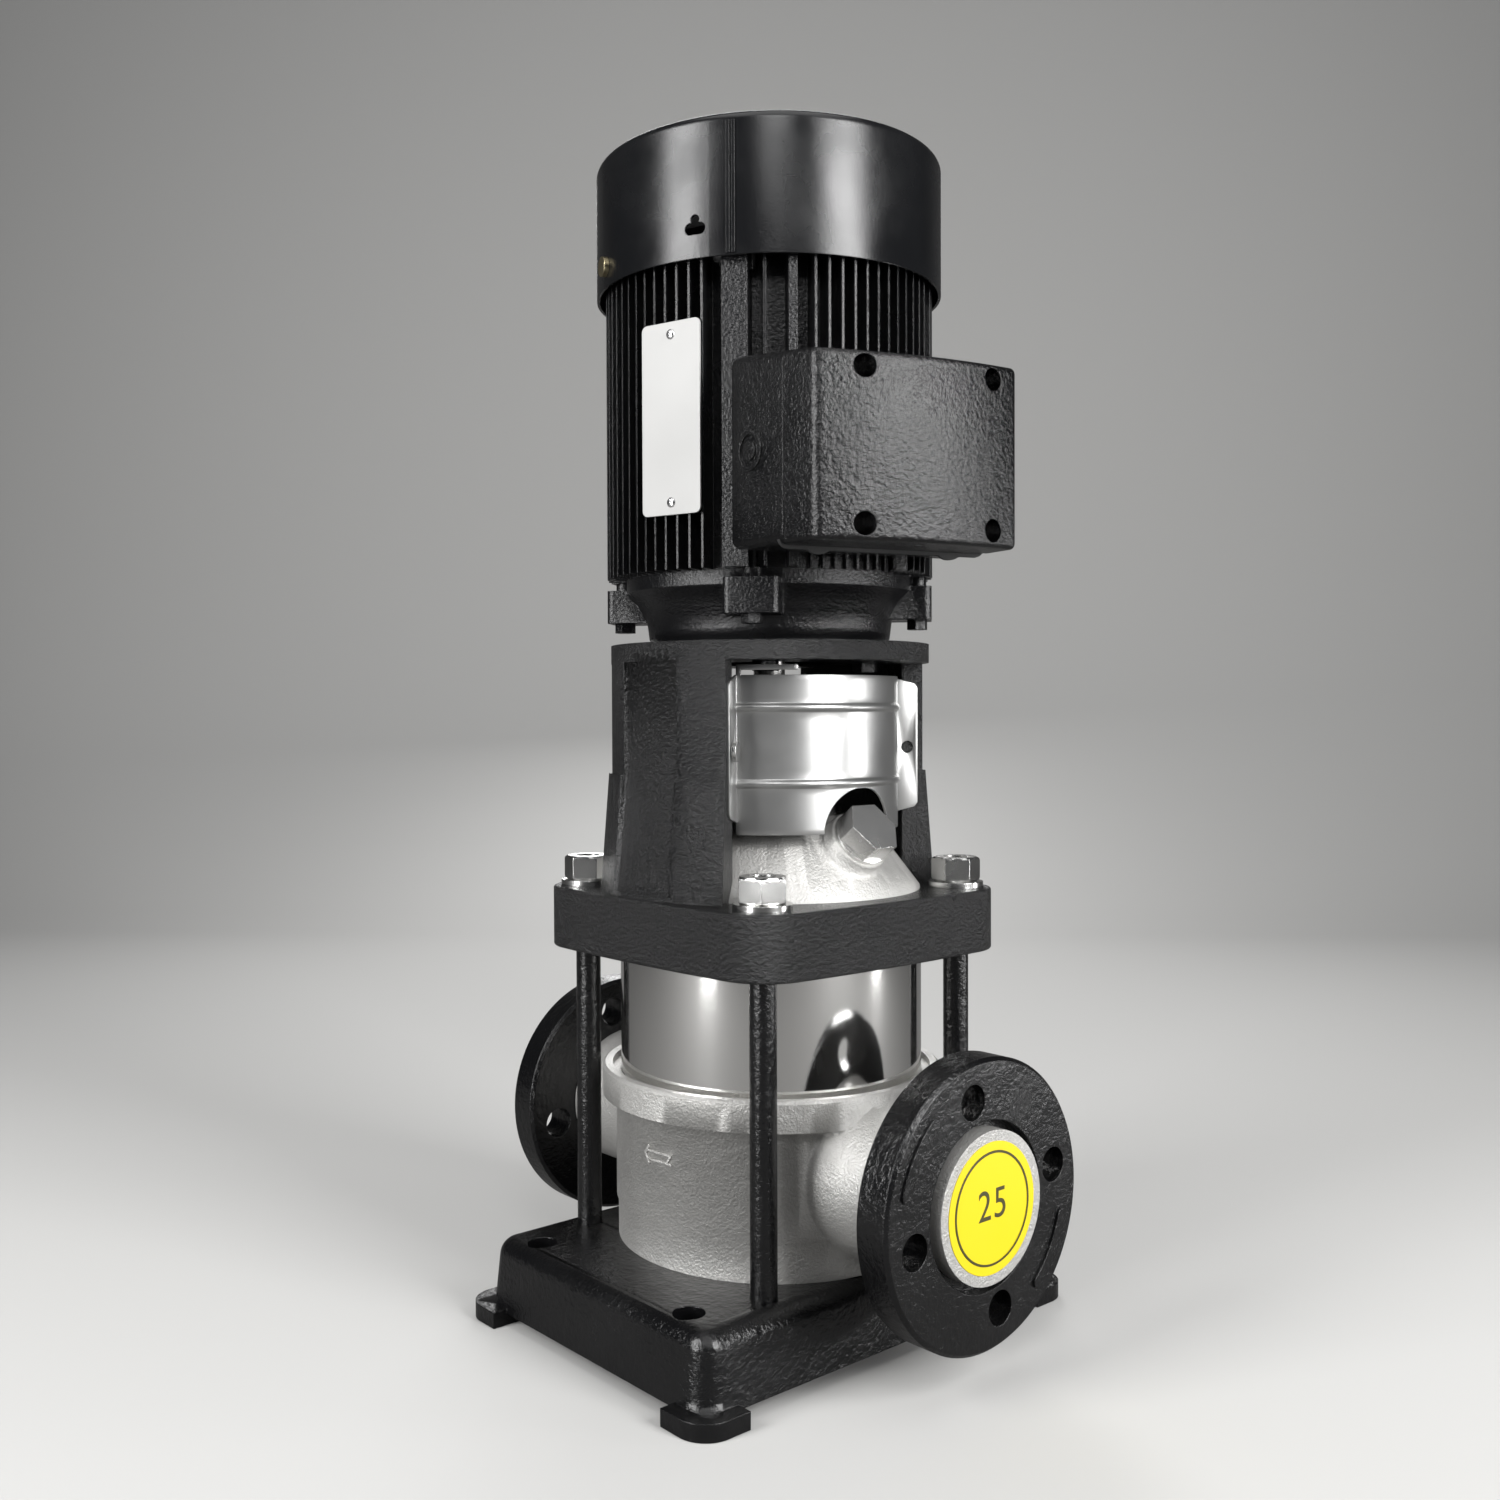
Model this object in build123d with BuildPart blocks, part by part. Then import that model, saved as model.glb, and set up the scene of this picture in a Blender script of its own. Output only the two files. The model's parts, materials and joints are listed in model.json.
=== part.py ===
from build123d import *
from math import atan, cos, degrees, radians, sin, sqrt, tan
import os

os.makedirs("parts", exist_ok=True)

# Vertical multistage in-line pump with a flange-mounted motor, in millimetres.
# Origin: on the floor under the shaft. +Z is up the shaft, +X is the inlet port's axis.

# ---------------------------------------------------------------- driving dimensions
running_gap = 0.06  # radial clearance of a turning fit
fit_gap = 0.1  # radial clearance of a sliding or screwed fit
sheet_gap = 0.3  # clearance between pieces that only lie close together

# base plate
base_x = 150.0
base_y = 208.0
base_corner_r = 12.0
foot_h = 5.0
foot_reach = 6.5  # how far a foot stands out past the skirt
foot_size = 24.0
foot_corner_r = 13.0
base_top_z = 35.0
base_draft = 6.0
base_wall = 7.0
base_deck = 9.0
base_rim_r = 8.0
base_bolt_x = 100.0
base_bolt_y = 180.0
base_bolt_r = 6.5
corner_rib_r = 4.6

# stack heights
port_z = 75.0
collar_low_z = 98.0
collar_top_z = 111.0
ring_low_z = 162.0
ring_top_z = 189.0
stool_top_z = 296.0
frame_low_z = 325.0
frame_top_z = 452.0
cowl_low_z = 448.0
cowl_top_z = 505.0

# casing and ports
casing_r = 69.2
band_r = 68.4  # machined band round the foot of the casing
band_top_z = 51.5
collar_r = 75.3
collar_lip_r = 70.8
port_face_x = 125.0
port_bore_r = 13.5
port_lip_r = 30.0
port_lip_t = 8.0
port_neck_r = 24.0
port_hub_r = 32.0
port_root_r = 42.0
port_wall = 4.5
cup_r = 46.0  # inlet cup in the middle of the casing
annulus_inner_r = cup_r + 4.5
annulus_outer_r = 63.0  # outlet annulus round the cup
cup_floor_z = 46.0
annulus_floor_z = 55.0
spacer_seat_z = 92.0

drain_angle = 90.0
drain_z = 68.0
drain_boss_r = 11.0
drain_seat_r = 73.0
drain_thread_r = 6.5
drain_thread_len = 9.0
drain_af = 17.0
drain_head_h = 7.0

# loose flanges, DN25 PN16
flange_r = 57.5
flange_t = 16.0
flange_set_back = 2.5
flange_recess_r = 33.4
flange_pcd = 85.0
flange_hole_r = 7.0
flange_clocking = 11.0
flange_edge = 1.5

# sleeve, stages and shaft
sleeve_r = 67.0
sleeve_wall = 1.5
sleeve_low_z = 104.0
gasket_flat = 0.6
stage_count = 3
stage_pitch = 21.0
stack_low_z = 100.0
stage_r = 55.0
stage_wall = 1.5
diffuser_rise = 13.0  # height of the diffuser disc above its chamber's floor
impeller_r = 40.0
impeller_eye_r = 16.0
impeller_blades = 6
impeller_rise = 4.5  # height of the lower shroud above its chamber's floor
return_vanes = 8
shaft_low_z = 84.0
shaft_tip_r = 4.0
shaft_nut_af = 17.0
shaft_nut_h = 6.0
pump_shaft_r = 6.0
pump_shaft_top_z = 252.0
seal_chamber_r = 21.0

# pump head
head_flange_r = 71.0
head_shoulder_z = 181.0
head_neck_r = 66.5
head_cone_top_r = 46.0
head_cone_top_z = 217.0
head_top_z = 221.0
plug_z = 209.9  # height where the priming plug's axis meets the cone
plug_boss_h = 4.5
plug_boss_r = 14.0
plug_thread_r = 9.0
plug_thread_len = 11.0
plug_washer_r = 12.5
plug_washer_t = 1.5
plug_af = 22.0
plug_head_h = 9.5
gland_r = 30.0
gland_t = 4.0
gland_screw_r = 2.0

# tie rods
rod_r = 5.5
rod_circle_r = 82.4
rod_seat_z = 18.0
rod_boss_r = 10.0
washer_r = 12.0
washer_t = 2.5
nut_af = 18.5
nut_h = 10.8

# motor stool
ring_half = 74.0
ring_bulge = 3.5
ring_corner_r = 22.0
leg_r = 70.6
leg_inner_r = 61.0
leg_half_angle = 32.5
leg_flare_z = 240.0
leg_flare_r = 75.5
leg_step = 1.4  # step at the top of the flare
panel_half_angle = 14.5
panel_depth = 1.6
stool_flange_t = 8.0
stool_spigot_r = 35.0

# coupling and guards
coupling_r = 21.0
coupling_low_z = 229.0
coupling_high_z = 281.0
coupling_split = 2.0
coupling_pin_z = 238.0
coupling_pin_r = 2.5
coupling_pin_len = 36.0
coupling_bolt_x = 13.5
coupling_bolt_r = 3.0
coupling_head_r = 4.8
coupling_bolt_seat = 8.0
guard_r = 57.4
guard_sheet = 1.0
guard_low_z = 216.0
guard_high_z = 282.0
guard_lug_r = 68.0
guard_arch_r = 19.0
guard_screw_z = 250.5
guard_hole_r = 2.8
lug_low = 5.0  # height of a lug's lower edge above its guard's
lug_taper = 3.0
strip_low_z = 284.0  # loose strip over the front guard
strip_high_z = 286.3
strip_angles = (-57.0, -31.0)
strip_tie = 3.0  # angle of sheet that ties the strip to its guard
bead_low_z = 237.0
bead_high_z = 268.5
bead_h = 0.9

# motor
motor_clocking = -4.0
shield_face_r = 51.0
shield_rim_r = 63.5
ear_r = 71.8
ear_w = 23.0
ear_low_z = 306.5
ear_high_z = 321.0
frame_root_r = 63.5
frame_bore_r = 60.0
fin_r = 72.7
fin_t = 1.7
fin_count = 78
column_left = 10.0
column_right = 17.0
column_strips = [(-4.8, 11.0), (5.4, 1.6), (15.3, 3.6)]  # angle from the corner, width
ear_screw_r = 65.5
ear_pad_r = 4.0
ear_bolt_r = 2.5
ear_bolt_af = 8.0
motor_bolt_circle_r = 42.5
motor_bolt_r = 3.0
motor_bolt_af = 10.0
motor_shaft_r = 7.0
motor_shaft_low_z = 255.0
bearing_outer_r = 17.5
bearing_inner_r = 7.5
bearing_w = 11.0
drive_bearing_z = 304.0
fan_bearing_z = 443.0
stator_low_z = 343.0
stator_high_z = 419.0
stator_bore_r = 33.0
slot_inner_r = 36.0
slot_outer_r = 52.0
slot_w = 4.0
slot_count = 24
winding_h = 14.0
motor_core_r = 10.0
end_ring_h = 8.0
air_gap = 0.4
cowl_r = 76.0
cowl_sheet = 1.2
cowl_shoulder_r = 4.0
cowl_screw_angles = [-108.0, 72.0]
cowl_screw_z = 456.5
cowl_screw_r = 2.2
cowl_slot_angles = [-65.5, 114.5]
cowl_slot_z = 459.8
cowl_slot_w = 9.0
cowl_slot_h = 4.8
grille_inner_r = 16.0
grille_outer_r = 60.0
grille_slots = 18
grille_slot_w = 4.5
fan_low_z = 465.0
fan_hub_h = 22.0
fan_hub_r = 13.0
fan_tip_r = 66.0
fan_blade_count = 7
fan_shaft_r = 6.0

# nameplate
plate_angle = -75.5
plate_w = 29.0
plate_low_z = 347.0
plate_high_z = 425.0
plate_t = 0.8
plate_seat = 0.2
rivet_inset = 5.0
rivet_r = 1.2
rivet_len = 5.0

# terminal box
box_angle = -15.5
box_seat = 66.0  # distance of its mounting face from the shaft
box_center_z = 364.5
box_edge = 120.0  # distance of the lid's side edges from the shaft
box_crown = 127.7  # distance of the lid's middle from the shaft
box_seat_w = 103.0
box_seat_h = 78.0
box_edge_w = 87.4
box_edge_h = 71.0
box_split = 96.0
box_seat_pad_w = 50.0
gasket_t = 1.5
box_wall = 4.0
box_corner_r = 5.0
lid_screw_x = 29.5
lid_screw_y = 30.0
lid_recess_r = 4.9
box_screw_x = 17.0
box_screw_y = 24.0
box_screw_r = 2.0
lid_post_r = 8.0
lid_screw_r = 2.5
lid_recess_z = 40.0
knockout_depth = 14.0
knockout_r = 7.8


# ---------------------------------------------------------------- helpers
def save(piece, name):
    """Labels a finished piece and writes its STEP file."""
    piece.part.label = name
    export_step(piece.part, f"parts/{name}.step")


def add_ring(outer_r, inner_r, low_z, high_z, mode=Mode.ADD):
    """Adds a plain ring or disc about the shaft between two heights."""
    with BuildSketch(Plane.XY.offset(low_z)) as section:
        Circle(outer_r)
        if inner_r > 0:
            Circle(inner_r, mode=Mode.SUBTRACT)
    extrude(section.sketch, amount=high_z - low_z, mode=mode)


def add_turned(points, mode=Mode.ADD):
    """Revolves a closed outline of (radius, height) points about the shaft."""
    with BuildSketch(Plane.XZ) as section:
        with BuildLine():
            Polyline(*points, close=True)
        make_face()
    revolve(section.sketch, axis=Axis.Z, mode=mode)


def add_rods(radius, low_z, high_z, centres, mode=Mode.ADD):
    """Adds one round rod at each (x, y) centre between two heights."""
    with BuildSketch(Plane.XY.offset(low_z)) as section:
        with Locations(*centres):
            Circle(radius)
    extrude(section.sketch, amount=high_z - low_z, mode=mode)


def add_hexes(across_flats, low_z, high_z, centres, bore_r=0, mode=Mode.ADD):
    """Adds one upright hexagon at each (x, y) centre, with an optional bore."""
    with BuildSketch(Plane.XY.offset(low_z)) as section:
        with Locations(*centres):
            RegularPolygon(across_flats / 2, 6, major_radius=False)
            if bore_r > 0:
                Circle(bore_r, mode=Mode.SUBTRACT)
    extrude(section.sketch, amount=high_z - low_z, mode=mode)


def around(radius, angles):
    """Gives the (x, y) points at a radius for a list of angles in degrees."""
    return [(radius * cos(radians(a)), radius * sin(radians(a))) for a in angles]


def radial_plane(angle, distance, height):
    """A plane facing outwards at an angle about the shaft, with its local Y up."""
    away = Vector(cos(radians(angle)), sin(radians(angle)), 0)
    side = Vector(-sin(radians(angle)), cos(radians(angle)), 0)
    return Plane(origin=away * distance + Vector(0, 0, height), x_dir=side, z_dir=away)


def port_plane(x):
    """A plane square to the ports' axis at x, turned so that its X lies between Y and Z."""
    return Plane(origin=(x, 0, port_z), x_dir=(0, 1, 1), z_dir=(1, 0, 0))


quarter_angles = [45, 135, 225, 315]
rod_centres = around(rod_circle_r, quarter_angles)
base_bolts = [
    (sx * base_bolt_x / 2, sy * base_bolt_y / 2) for sx in (-1, 1) for sy in (-1, 1)
]

# ---------------------------------------------------------------- base plate
# A deep cast tray upside down, open underneath, that stands on four corner feet.
base_narrowing = (base_top_z - foot_h) * tan(radians(base_draft))
with BuildPart() as base_plate:
    with BuildSketch(Plane.XY.offset(foot_h)):
        RectangleRounded(base_x, base_y, base_corner_r)
    extrude(amount=base_top_z - foot_h, taper=base_draft)
    fillet(base_plate.faces().sort_by(Axis.Z)[-1].edges(), base_rim_r)
    # corner ribs that run down to the feet
    rib_inset = base_corner_r - 3.0
    rib_centres = [
        (sx * (base_x / 2 - rib_inset), sy * (base_y / 2 - rib_inset))
        for sx in (-1, 1)
        for sy in (-1, 1)
    ]
    add_rods(corner_rib_r, foot_h, base_top_z - base_rim_r - 2, rib_centres)
    with BuildSketch(Plane.XY.offset(foot_h)):
        RectangleRounded(base_x - 2 * base_wall, base_y - 2 * base_wall, base_corner_r)
    extrude(
        amount=base_top_z - base_deck - foot_h, taper=base_draft, mode=Mode.SUBTRACT
    )
    # feet with rounded outer corners
    with BuildSketch() as foot_pads:
        Rectangle(base_x + 2 * foot_reach, base_y + 2 * foot_reach)
        fillet(foot_pads.vertices(), foot_corner_r)
        Rectangle(base_x + 2 * foot_reach - 2 * foot_size, base_y * 1.2, mode=Mode.SUBTRACT)
        Rectangle(base_x * 1.2, base_y + 2 * foot_reach - 2 * foot_size, mode=Mode.SUBTRACT)
    extrude(amount=foot_h + 2)
    # bosses under the deck that take the tie rods
    add_rods(rod_boss_r, rod_seat_z - 6, base_top_z - base_deck + 1, rod_centres)
    add_rods(rod_r + fit_gap / 2, rod_seat_z, base_top_z, rod_centres, Mode.SUBTRACT)
    add_rods(base_bolt_r, 0, base_top_z, base_bolts, Mode.SUBTRACT)
    # stiffening web across the middle of the tray
    with BuildSketch(Plane.XY.offset(foot_h + 5)):
        Rectangle(base_x - base_wall, 6)
    extrude(amount=base_top_z - base_deck - foot_h - 5)
save(base_plate, "base_plate")

# ---------------------------------------------------------------- tie rods
rod_top_z = ring_top_z + washer_t + nut_h - 1
with BuildPart() as tie_rods:
    add_rods(rod_r, rod_seat_z, rod_top_z, rod_centres)
    chamfer(tie_rods.faces().sort_by(Axis.Z)[-4:].edges(), 0.8)
save(tie_rods, "tie_rods")

with BuildPart() as tie_rod_washers:
    add_rods(washer_r, ring_top_z, ring_top_z + washer_t, rod_centres)
    add_rods(rod_r + fit_gap, ring_top_z, ring_top_z + washer_t, rod_centres, Mode.SUBTRACT)
save(tie_rod_washers, "tie_rod_washers")

nut_low_z = ring_top_z + washer_t
with BuildPart() as tie_rod_nuts:
    add_hexes(nut_af, nut_low_z, nut_low_z + nut_h, rod_centres, rod_r + fit_gap / 2)
    nut_rims = tie_rod_nuts.faces().sort_by(Axis.Z)[-4:].edges().filter_by(GeomType.LINE)
    chamfer(nut_rims, 0.9)
save(tie_rod_nuts, "tie_rod_nuts")

# ---------------------------------------------------------------- pump casing
# One stainless casting: inlet cup in the middle, outlet annulus round it, two ports.
hub_back_x = port_face_x - flange_set_back - flange_t - sheet_gap
neck_end_x = port_face_x - port_lip_t

# the ring-shaped space that the outlet opens into, less the inlet's own tube across it
with BuildPart() as outlet_annulus:
    add_ring(annulus_outer_r, annulus_inner_r, annulus_floor_z, spacer_seat_z)
    with BuildSketch(port_plane(0)) as inlet_tube:
        Circle(port_bore_r + port_wall)
    extrude(inlet_tube.sketch, amount=2 * annulus_outer_r, mode=Mode.SUBTRACT)

with BuildPart() as pump_casing:
    add_turned(
        [
            (0, base_top_z),
            (band_r, base_top_z),
            (band_r, band_top_z),
            (casing_r, band_top_z + 0.8),
            (casing_r, collar_low_z - 1.5),
            (collar_r, collar_low_z),
            (collar_r, collar_top_z - 1.2),
            (collar_r - 1.2, collar_top_z),
            (collar_lip_r, collar_top_z),
            (collar_lip_r, collar_top_z - 3),
            (sleeve_r + fit_gap, collar_top_z - 3),
            (sleeve_r + fit_gap, sleeve_low_z - 0.6),
            (0, sleeve_low_z - 0.6),
        ]
    )
    # flared port hubs, necks and the lips that hold the loose flanges
    for side in (1, -1):
        root_x = side * (casing_r - 18)
        flare_x = side * (casing_r - 6)
        hub_x = side * (casing_r + 18)
        with BuildSketch(Plane.XY.offset(port_z)) as port_section:
            with BuildLine():
                Polyline(
                    (root_x, 0),
                    (root_x, port_root_r - 4),
                    (flare_x, port_root_r - 6),
                )
                ThreePointArc(
                    (flare_x, port_root_r - 6),
                    (side * (casing_r + 6), port_hub_r + 1.2),
                    (hub_x, port_hub_r),
                )
                Polyline(
                    (hub_x, port_hub_r),
                    (side * hub_back_x, port_hub_r),
                    (side * hub_back_x, port_neck_r),
                    (side * neck_end_x, port_neck_r),
                    (side * neck_end_x, port_lip_r),
                    (side * port_face_x, port_lip_r),
                    (side * port_face_x, 0),
                    (root_x, 0),
                )
            make_face()
        revolve(port_section.sketch, axis=Axis((0, 0, port_z), (1, 0, 0)))
    # the hubs may not stand proud of the collar's rim or block the stack
    add(outlet_annulus.part, mode=Mode.SUBTRACT)
    add_ring(cup_r, 0, cup_floor_z, collar_top_z + 9, Mode.SUBTRACT)
    add_ring(annulus_outer_r, 0, spacer_seat_z, collar_top_z + 9, Mode.SUBTRACT)
    add_ring(sleeve_r + fit_gap, 0, sleeve_low_z - 0.6, collar_top_z + 9, Mode.SUBTRACT)
    add_ring(collar_lip_r, 0, collar_top_z - 3, collar_top_z + 9, Mode.SUBTRACT)
    # inlet passage runs into the cup; the outlet's opens into the annulus
    with BuildSketch(port_plane(cup_r - 3)) as inlet_bore:
        Circle(port_bore_r)
    extrude(inlet_bore.sketch, amount=port_face_x, mode=Mode.SUBTRACT)
    with BuildSketch(port_plane(-port_face_x - 1)) as outlet_bore:
        Circle(port_bore_r)
    extrude(outlet_bore.sketch, amount=port_face_x - annulus_outer_r + 4, mode=Mode.SUBTRACT)
    # boss and tapped hole for the drain plug on the far side
    drain_plane = radial_plane(drain_angle, annulus_outer_r + 1, drain_z)
    with BuildSketch(drain_plane) as drain_boss:
        Circle(drain_boss_r)
    extrude(drain_boss.sketch, amount=drain_seat_r - annulus_outer_r - 1)
    with BuildSketch(drain_plane) as drain_hole:
        Circle(drain_thread_r + fit_gap / 2)
    extrude(drain_hole.sketch, amount=20, both=True, mode=Mode.SUBTRACT)
save(pump_casing, "pump_casing")


def build_plug(plane, thread_r, thread_len, plug_af, head_h, rim):
    """A hexagon-headed plug whose washer seat lies on the plane."""
    with BuildPart() as plug:
        with BuildSketch(plane.offset(rim)) as head:
            RegularPolygon(plug_af / 2, 6, major_radius=False)
        extrude(head.sketch, amount=head_h)
        outer_face = plug.faces().sort_by(SortBy.DISTANCE)[-1]
        chamfer(outer_face.edges(), 0.8)
        with BuildSketch(plane.offset(rim - thread_len)) as shank:
            Circle(thread_r)
        extrude(shank.sketch, amount=thread_len)
    return plug


drain_seat = radial_plane(drain_angle, drain_seat_r, drain_z)
drain_plug = build_plug(drain_seat, drain_thread_r, drain_thread_len, drain_af, drain_head_h, 0)
save(drain_plug, "drain_plug")

# ---------------------------------------------------------------- sleeve and gaskets
sleeve_high_z = ring_low_z + 10
with BuildPart() as outer_sleeve:
    add_ring(sleeve_r, sleeve_r - sleeve_wall, sleeve_low_z, sleeve_high_z)
save(outer_sleeve, "outer_sleeve")

with BuildPart() as sleeve_gaskets:
    for gasket_z in (sleeve_low_z - gasket_flat, sleeve_high_z):
        add_ring(sleeve_r, sleeve_r - sleeve_wall, gasket_z, gasket_z + gasket_flat)
save(sleeve_gaskets, "sleeve_gaskets")

# ---------------------------------------------------------------- stages
# The suction spacer stands on the casing's cup and carries the shaft's lower bush.
bush_r = pump_shaft_r + 3.0
with BuildPart() as suction_spacer:
    add_ring(annulus_inner_r, impeller_eye_r + 2, spacer_seat_z, spacer_seat_z + 2)
    add_ring(annulus_inner_r, annulus_inner_r - 2, spacer_seat_z, stack_low_z)
    add_ring(bush_r + 3, bush_r, spacer_seat_z, stack_low_z - 1)
    with BuildSketch(Plane.XY.offset(spacer_seat_z)) as spokes:
        with PolarLocations((bush_r + impeller_eye_r + 4) / 2 + 1, 3):
            Rectangle(impeller_eye_r - bush_r + 1, 2.5)
    extrude(spokes.sketch, amount=4)
save(suction_spacer, "suction_spacer")

with BuildPart() as shaft_bush:
    add_ring(bush_r, pump_shaft_r + running_gap, spacer_seat_z, stack_low_z - 1)
save(shaft_bush, "shaft_bush")


def build_stage_chamber(low_z):
    """A pressed cup with a floor, an eye, a diffuser disc and its return vanes."""
    disc_z = low_z + diffuser_rise
    with BuildPart() as chamber:
        add_ring(stage_r, impeller_eye_r + 1.5, low_z, low_z + stage_wall)
        add_ring(stage_r, stage_r - stage_wall, low_z, low_z + stage_pitch)
        add_ring(stage_r - 8, pump_shaft_r + 4, disc_z, disc_z + stage_wall)
        with BuildSketch(Plane.XY.offset(disc_z + stage_wall)) as vanes:
            for number in range(return_vanes):
                with BuildLine() as vane_line:
                    RadiusArc(
                        around(pump_shaft_r + 8, [number * 360 / return_vanes])[0],
                        around(stage_r - 0.7, [number * 360 / return_vanes + 38])[0],
                        -60,
                    )
                    offset(amount=0.6, side=Side.BOTH, closed=True)
                make_face()
        extrude(vanes.sketch, amount=stage_pitch - diffuser_rise - stage_wall)
    return chamber


def build_impeller(low_z):
    """A closed impeller: two shrouds, backward-curved blades, an eye neck and a hub."""
    with BuildPart() as wheel:
        add_ring(impeller_r, impeller_eye_r - 2, low_z, low_z + 1)
        add_ring(impeller_eye_r, impeller_eye_r - 2, low_z - 2.5, low_z + 1)
        add_ring(impeller_r, pump_shaft_r + fit_gap / 2, low_z + 6, low_z + 7)
        add_ring(pump_shaft_r + 3, pump_shaft_r + fit_gap / 2, low_z - 4, low_z + 8)
        with BuildSketch(Plane.XY.offset(low_z + 1)) as blades:
            for number in range(impeller_blades):
                with BuildLine() as blade_line:
                    RadiusArc(
                        around(impeller_eye_r - 1, [number * 360 / impeller_blades])[0],
                        around(impeller_r - 1, [number * 360 / impeller_blades - 62])[0],
                        32,
                    )
                    offset(amount=0.6, side=Side.BOTH, closed=True)
                make_face()
        extrude(blades.sketch, amount=5)
    return wheel


for stage in range(stage_count):
    stage_z = stack_low_z + stage * stage_pitch
    save(build_stage_chamber(stage_z), f"stage_chamber_{stage + 1}")
    save(build_impeller(stage_z + impeller_rise), f"impeller_{stage + 1}")

# Spacer tubes between the impeller hubs, held by the nut at the shaft's foot.
hub_low = impeller_rise - 4
hub_high = impeller_rise + 8
stack_high_z = stack_low_z + stage_count * stage_pitch
with BuildPart() as impeller_spacers:
    for stage in range(stage_count - 1):
        spacer_z = stack_low_z + stage * stage_pitch + hub_high
        add_ring(
            pump_shaft_r + 2.5,
            pump_shaft_r + fit_gap / 2,
            spacer_z,
            spacer_z + stage_pitch - hub_high + hub_low,
        )
save(impeller_spacers, "impeller_spacers")

nut_base_z = shaft_low_z + 1
with BuildPart() as shaft_nut:
    add_hexes(
        shaft_nut_af, nut_base_z, nut_base_z + shaft_nut_h, [(0, 0)], shaft_tip_r + fit_gap / 2
    )
save(shaft_nut, "shaft_nut")

with BuildPart() as pump_shaft:
    add_ring(pump_shaft_r, 0, nut_base_z + shaft_nut_h, pump_shaft_top_z)
    add_ring(shaft_tip_r, 0, shaft_low_z, nut_base_z + shaft_nut_h)
    # collar that the top impeller's hub bears on
    top_hub_z = stack_high_z - stage_pitch + hub_high
    add_ring(pump_shaft_r + 2, 0, top_hub_z, top_hub_z + 3)
    chamfer(pump_shaft.faces().sort_by(Axis.Z)[-1].edges(), 0.8)
    # cross hole for the coupling pin
    with BuildSketch(Plane.XZ) as pin_hole:
        with Locations((0, coupling_pin_z)):
            Circle(coupling_pin_r + fit_gap / 2)
    extrude(pin_hole.sketch, amount=pump_shaft_r + 1, both=True, mode=Mode.SUBTRACT)
save(pump_shaft, "pump_shaft")

# ---------------------------------------------------------------- pump head
cone_slope = (head_cone_top_z - ring_top_z - 1) / (head_neck_r - head_cone_top_r)
plug_along = Vector(sin(atan(cone_slope)), 0, cos(atan(cone_slope)))
plug_foot = Vector(
    head_neck_r - (plug_z - ring_top_z - 1) / cone_slope, 0, plug_z
)
plug_seat = Plane(origin=plug_foot + plug_along * plug_boss_h, x_dir=(0, 1, 0), z_dir=plug_along)
with BuildPart() as pump_head:
    add_turned(
        [
            (stage_r - 5, ring_low_z + 1),
            (head_flange_r, ring_low_z + 1),
            (head_flange_r, head_shoulder_z),
            (head_neck_r, head_shoulder_z),
            (head_neck_r, ring_top_z + 1),
            (head_cone_top_r, head_cone_top_z),
            (head_cone_top_r - 8, head_cone_top_z + 2.5),
            (head_cone_top_r - 10, head_top_z),
            (seal_chamber_r, head_top_z),
            (seal_chamber_r, head_top_z - 21),
            (seal_chamber_r + 7, head_top_z - 25),
            (stage_r - 5, head_shoulder_z - 1),
        ]
    )
    with BuildSketch(plug_seat) as plug_boss:
        Circle(plug_boss_r)
    extrude(plug_boss.sketch, amount=-plug_boss_h - 4)
    chamfer(pump_head.faces().sort_by(Axis(plug_foot, plug_along))[-1].edges(), 0.8)
    # groove that the sleeve enters from below, and the annulus inside it
    sleeve_groove_z = sleeve_high_z + gasket_flat
    add_ring(sleeve_r + fit_gap, annulus_outer_r + 2, ring_low_z, sleeve_groove_z, Mode.SUBTRACT)
    add_ring(annulus_outer_r + 3, stage_r + 2, ring_low_z, sleeve_groove_z - 2, Mode.SUBTRACT)
    with BuildSketch(plug_seat) as plug_hole:
        Circle(plug_thread_r + fit_gap / 2)
    extrude(plug_hole.sketch, amount=-plug_thread_len - 2, mode=Mode.SUBTRACT)
save(pump_head, "pump_head")

with BuildPart() as priming_plug_washer:
    with BuildSketch(plug_seat) as washer_section:
        Circle(plug_washer_r)
        Circle(plug_thread_r + fit_gap, mode=Mode.SUBTRACT)
    extrude(washer_section.sketch, amount=plug_washer_t)
save(priming_plug_washer, "priming_plug_washer")

priming_plug = build_plug(
    plug_seat, plug_thread_r, plug_thread_len, plug_af, plug_head_h, plug_washer_t
)
save(priming_plug, "priming_plug")

# ---------------------------------------------------------------- shaft seal
gland_screws_at = around(gland_r - 5, quarter_angles)
with BuildPart() as seal_gland:
    add_ring(gland_r, pump_shaft_r + 2, head_top_z, head_top_z + gland_t)
    add_ring(seal_chamber_r - fit_gap, pump_shaft_r + 2, head_top_z - 4, head_top_z)
    add_rods(gland_screw_r + fit_gap, head_top_z - 5, head_top_z + 6, gland_screws_at, Mode.SUBTRACT)
save(seal_gland, "seal_gland")

with BuildPart() as gland_screws:
    add_rods(gland_screw_r, head_top_z, head_top_z + gland_t, gland_screws_at)
    add_rods(gland_screw_r * 1.8, head_top_z + gland_t, head_top_z + gland_t + 2.5, gland_screws_at)
save(gland_screws, "gland_screws")

with BuildPart() as seal_seat:
    add_ring(seal_chamber_r - 2, pump_shaft_r + 1.5, head_top_z - 10, head_top_z - 4)
save(seal_seat, "seal_seat")

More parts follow.
